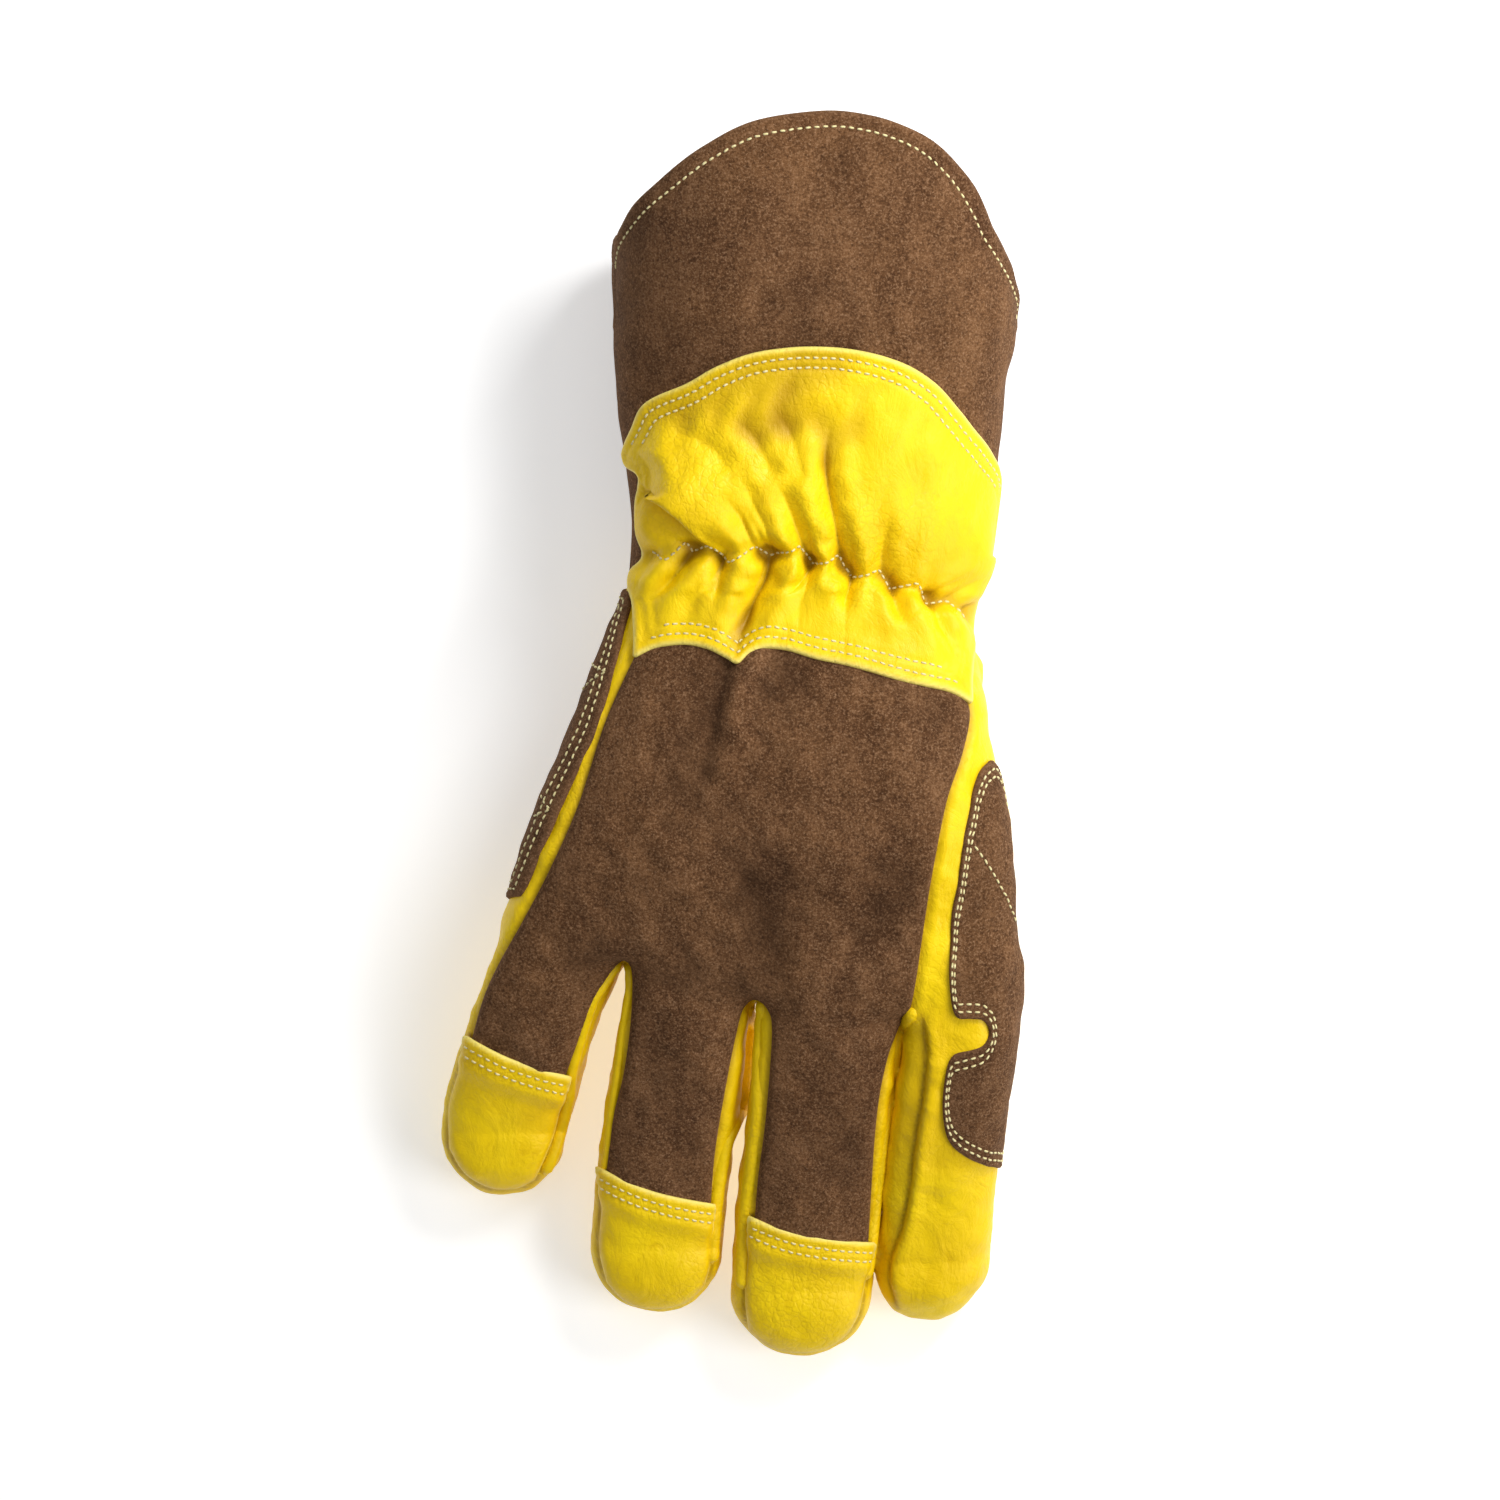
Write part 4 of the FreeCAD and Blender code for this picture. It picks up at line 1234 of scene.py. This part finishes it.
for n, pieceName in skinNames.items():
    shape = skin.part([(owner == n) & ~covered & ~underCuff])
    piece = makePiece(pieceName, shape, grain)
    if n == -1:
        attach(piece, "hand")
    else:
        bendTo(piece)
    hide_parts(*stands[n])
print("skin made")

# Rolled edges of the fourchettes, one each side of every crotch: plan line and radius
rolled = {
    "pinky": ([(-30.2, -62.4), (-31.6, -63), (-35.4, -68), (-38.6, -73), (-41, -80), (-42.9, -86.4),
        (-45, -94.1), (-45.9, -101.8), (-47.9, -110.2), (-50.4, -118.5), (-53.6, -125.2)], 1.9),
    "ringOuter": ([(-30.2, -62.4), (-28.6, -63.6), (-28.3, -66), (-28.5, -71.6), (-30.2, -81.2),
        (-31.9, -94.1), (-33.9, -106.9), (-35, -116.6), (-36.8, -126)], 1.35),
    "ringInner": ([(7.8, -73), (6.3, -75.6), (6.8, -80), (6.2, -88), (5.6, -96), (4.8, -104), (3.2, -108),
        (1.2, -112), (-0.3, -116), (-1.9, -124.6), (-3.1, -133.5), (-3.8, -142), (-4.4, -151)], 2.45),
    "middleOuter": ([(7.8, -73), (9.3, -75.6), (8.9, -80), (8.4, -88), (8.1, -96), (8, -104), (7.6, -108),
        (7.1, -112), (6.6, -116), (5.7, -124.6), (4.6, -133.5), (3.9, -142), (3.4, -151),
        (3.6, -158)], 2.4),
    "middleInner": ([(54.4, -75.6), (52.6, -76.2), (50.5, -79.2), (49, -84.2), (48.3, -91.3),
        (46.9, -102), (45.3, -112.7), (43.6, -130.5), (42, -144.7), (40.6, -155.4)], 2.2),
}
for label, (plan, radius) in rolled.items():
    line = throughPoints(plan, 0.7)
    place, normal = onTop(line)
    owner = next(n for n in fingerNames if label.startswith(n))
    shape = cordShape(place + normal * (1.0 - radius * 0.85), normal, radius, seed=len(label))
    piece = makePiece(f"rolledEdge{label[0].upper()}{label[1:]}", shape, grain)
    bendTo(piece)
print("rolled edges made")

# Fleece lining, one sock inside the leather
liningMaker = {"cell": 2.6, "inward": 3.4, "cuffLine": 52}
points, quads = isoSurface(low, high, liningMaker["cell"], level=-liningMaker["inward"])
lining = Shape(points, [quads])
centre = lining.centres()[0]
gaps = np.stack([tubes[n].distance(*centre.T) for n in digits])
owner = gaps.argmin(0)
free = centre[:, 1] < bends[owner] + 3
free &= (owner != 4) | (centre[:, 2] < 26)
owner = np.where(free, owner, -1)
for n in skinNames:
    digit = "hand" if n == -1 else list(digits)[n]
    inHand = (owner == n) & (centre[:, 1] < liningMaker["cuffLine"])
    piece = makePiece(f"{digit}Lining", lining.part([inHand]), fleece)
    if n == -1:
        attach(piece, "hand")
    else:
        bendTo(piece)
    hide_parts(f"{digit}_lining")
print("linings made")

# Floor, light and camera
def addFloor():
    bpy.ops.mesh.primitive_plane_add(size=6, location=(0, 0, -0.0005))
    floor = bpy.context.object
    floor.name = "studioFloor"
    f = Finish("studioPaper", Roughness=0.9, Emission_Color=(1, 1, 1, 1), Emission_Strength=0.42)
    tone = f.node("TexNoise", {}, {"Scale": 3.0})
    f.feed(Base_Color=f.mix(f.band(tone, 0.3, 0.7), (0.86, 0.86, 0.86, 1), (0.88, 0.88, 0.88, 1)))
    floor.data.materials.append(f.material)


def addLight(name, place, size, power, target=(0, 0, 0.03)):
    lamp = bpy.data.lights.new(name, "AREA")
    lamp.size, lamp.energy = size, power
    holder = bpy.data.objects.new(name, lamp)
    bpy.context.collection.objects.link(holder)
    holder.location = place
    way = np.array(target) - np.array(place)
    holder.rotation_mode = "QUATERNION"
    holder.rotation_quaternion = Vector(way).to_track_quat("-Z", "Y")


addFloor()
addLight("keyLight", (0.34, 0.4, 0.5), 0.26, 3.8, target=(0.02, 0.06, 0.05))
addLight("fillLight", (-0.9, 0.1, 0.9), 1.2, 0.8)
addLight("sideLight", (0.75, -0.3, 0.7), 0.5, 4.8, target=(0.06, -0.05, 0.04))
addLight("topLight", (0.0, 0.4, 1.7), 1.2, 3.6)
world = bpy.data.worlds.new("studio")
bpy.context.scene.world = world
world.use_nodes = True
world.node_tree.nodes["Background"].inputs["Color"].default_value = (1, 1, 1, 1)
world.node_tree.nodes["Background"].inputs["Strength"].default_value = 0.22
bpy.context.scene.view_settings.view_transform = "Standard"

camera = bpy.data.cameras.new("camera")
holder = bpy.data.objects.new("camera", camera)
bpy.context.collection.objects.link(holder)
bpy.context.scene.camera = holder
cameraAway = 1.5  # metres above the middle of the glove
frameWide = 0.4317  # metres across the picture at that height
holder.location = (0.0063, -0.0009, 0.04 + cameraAway)
camera.sensor_width = 36
camera.lens = 36 * cameraAway / frameWide
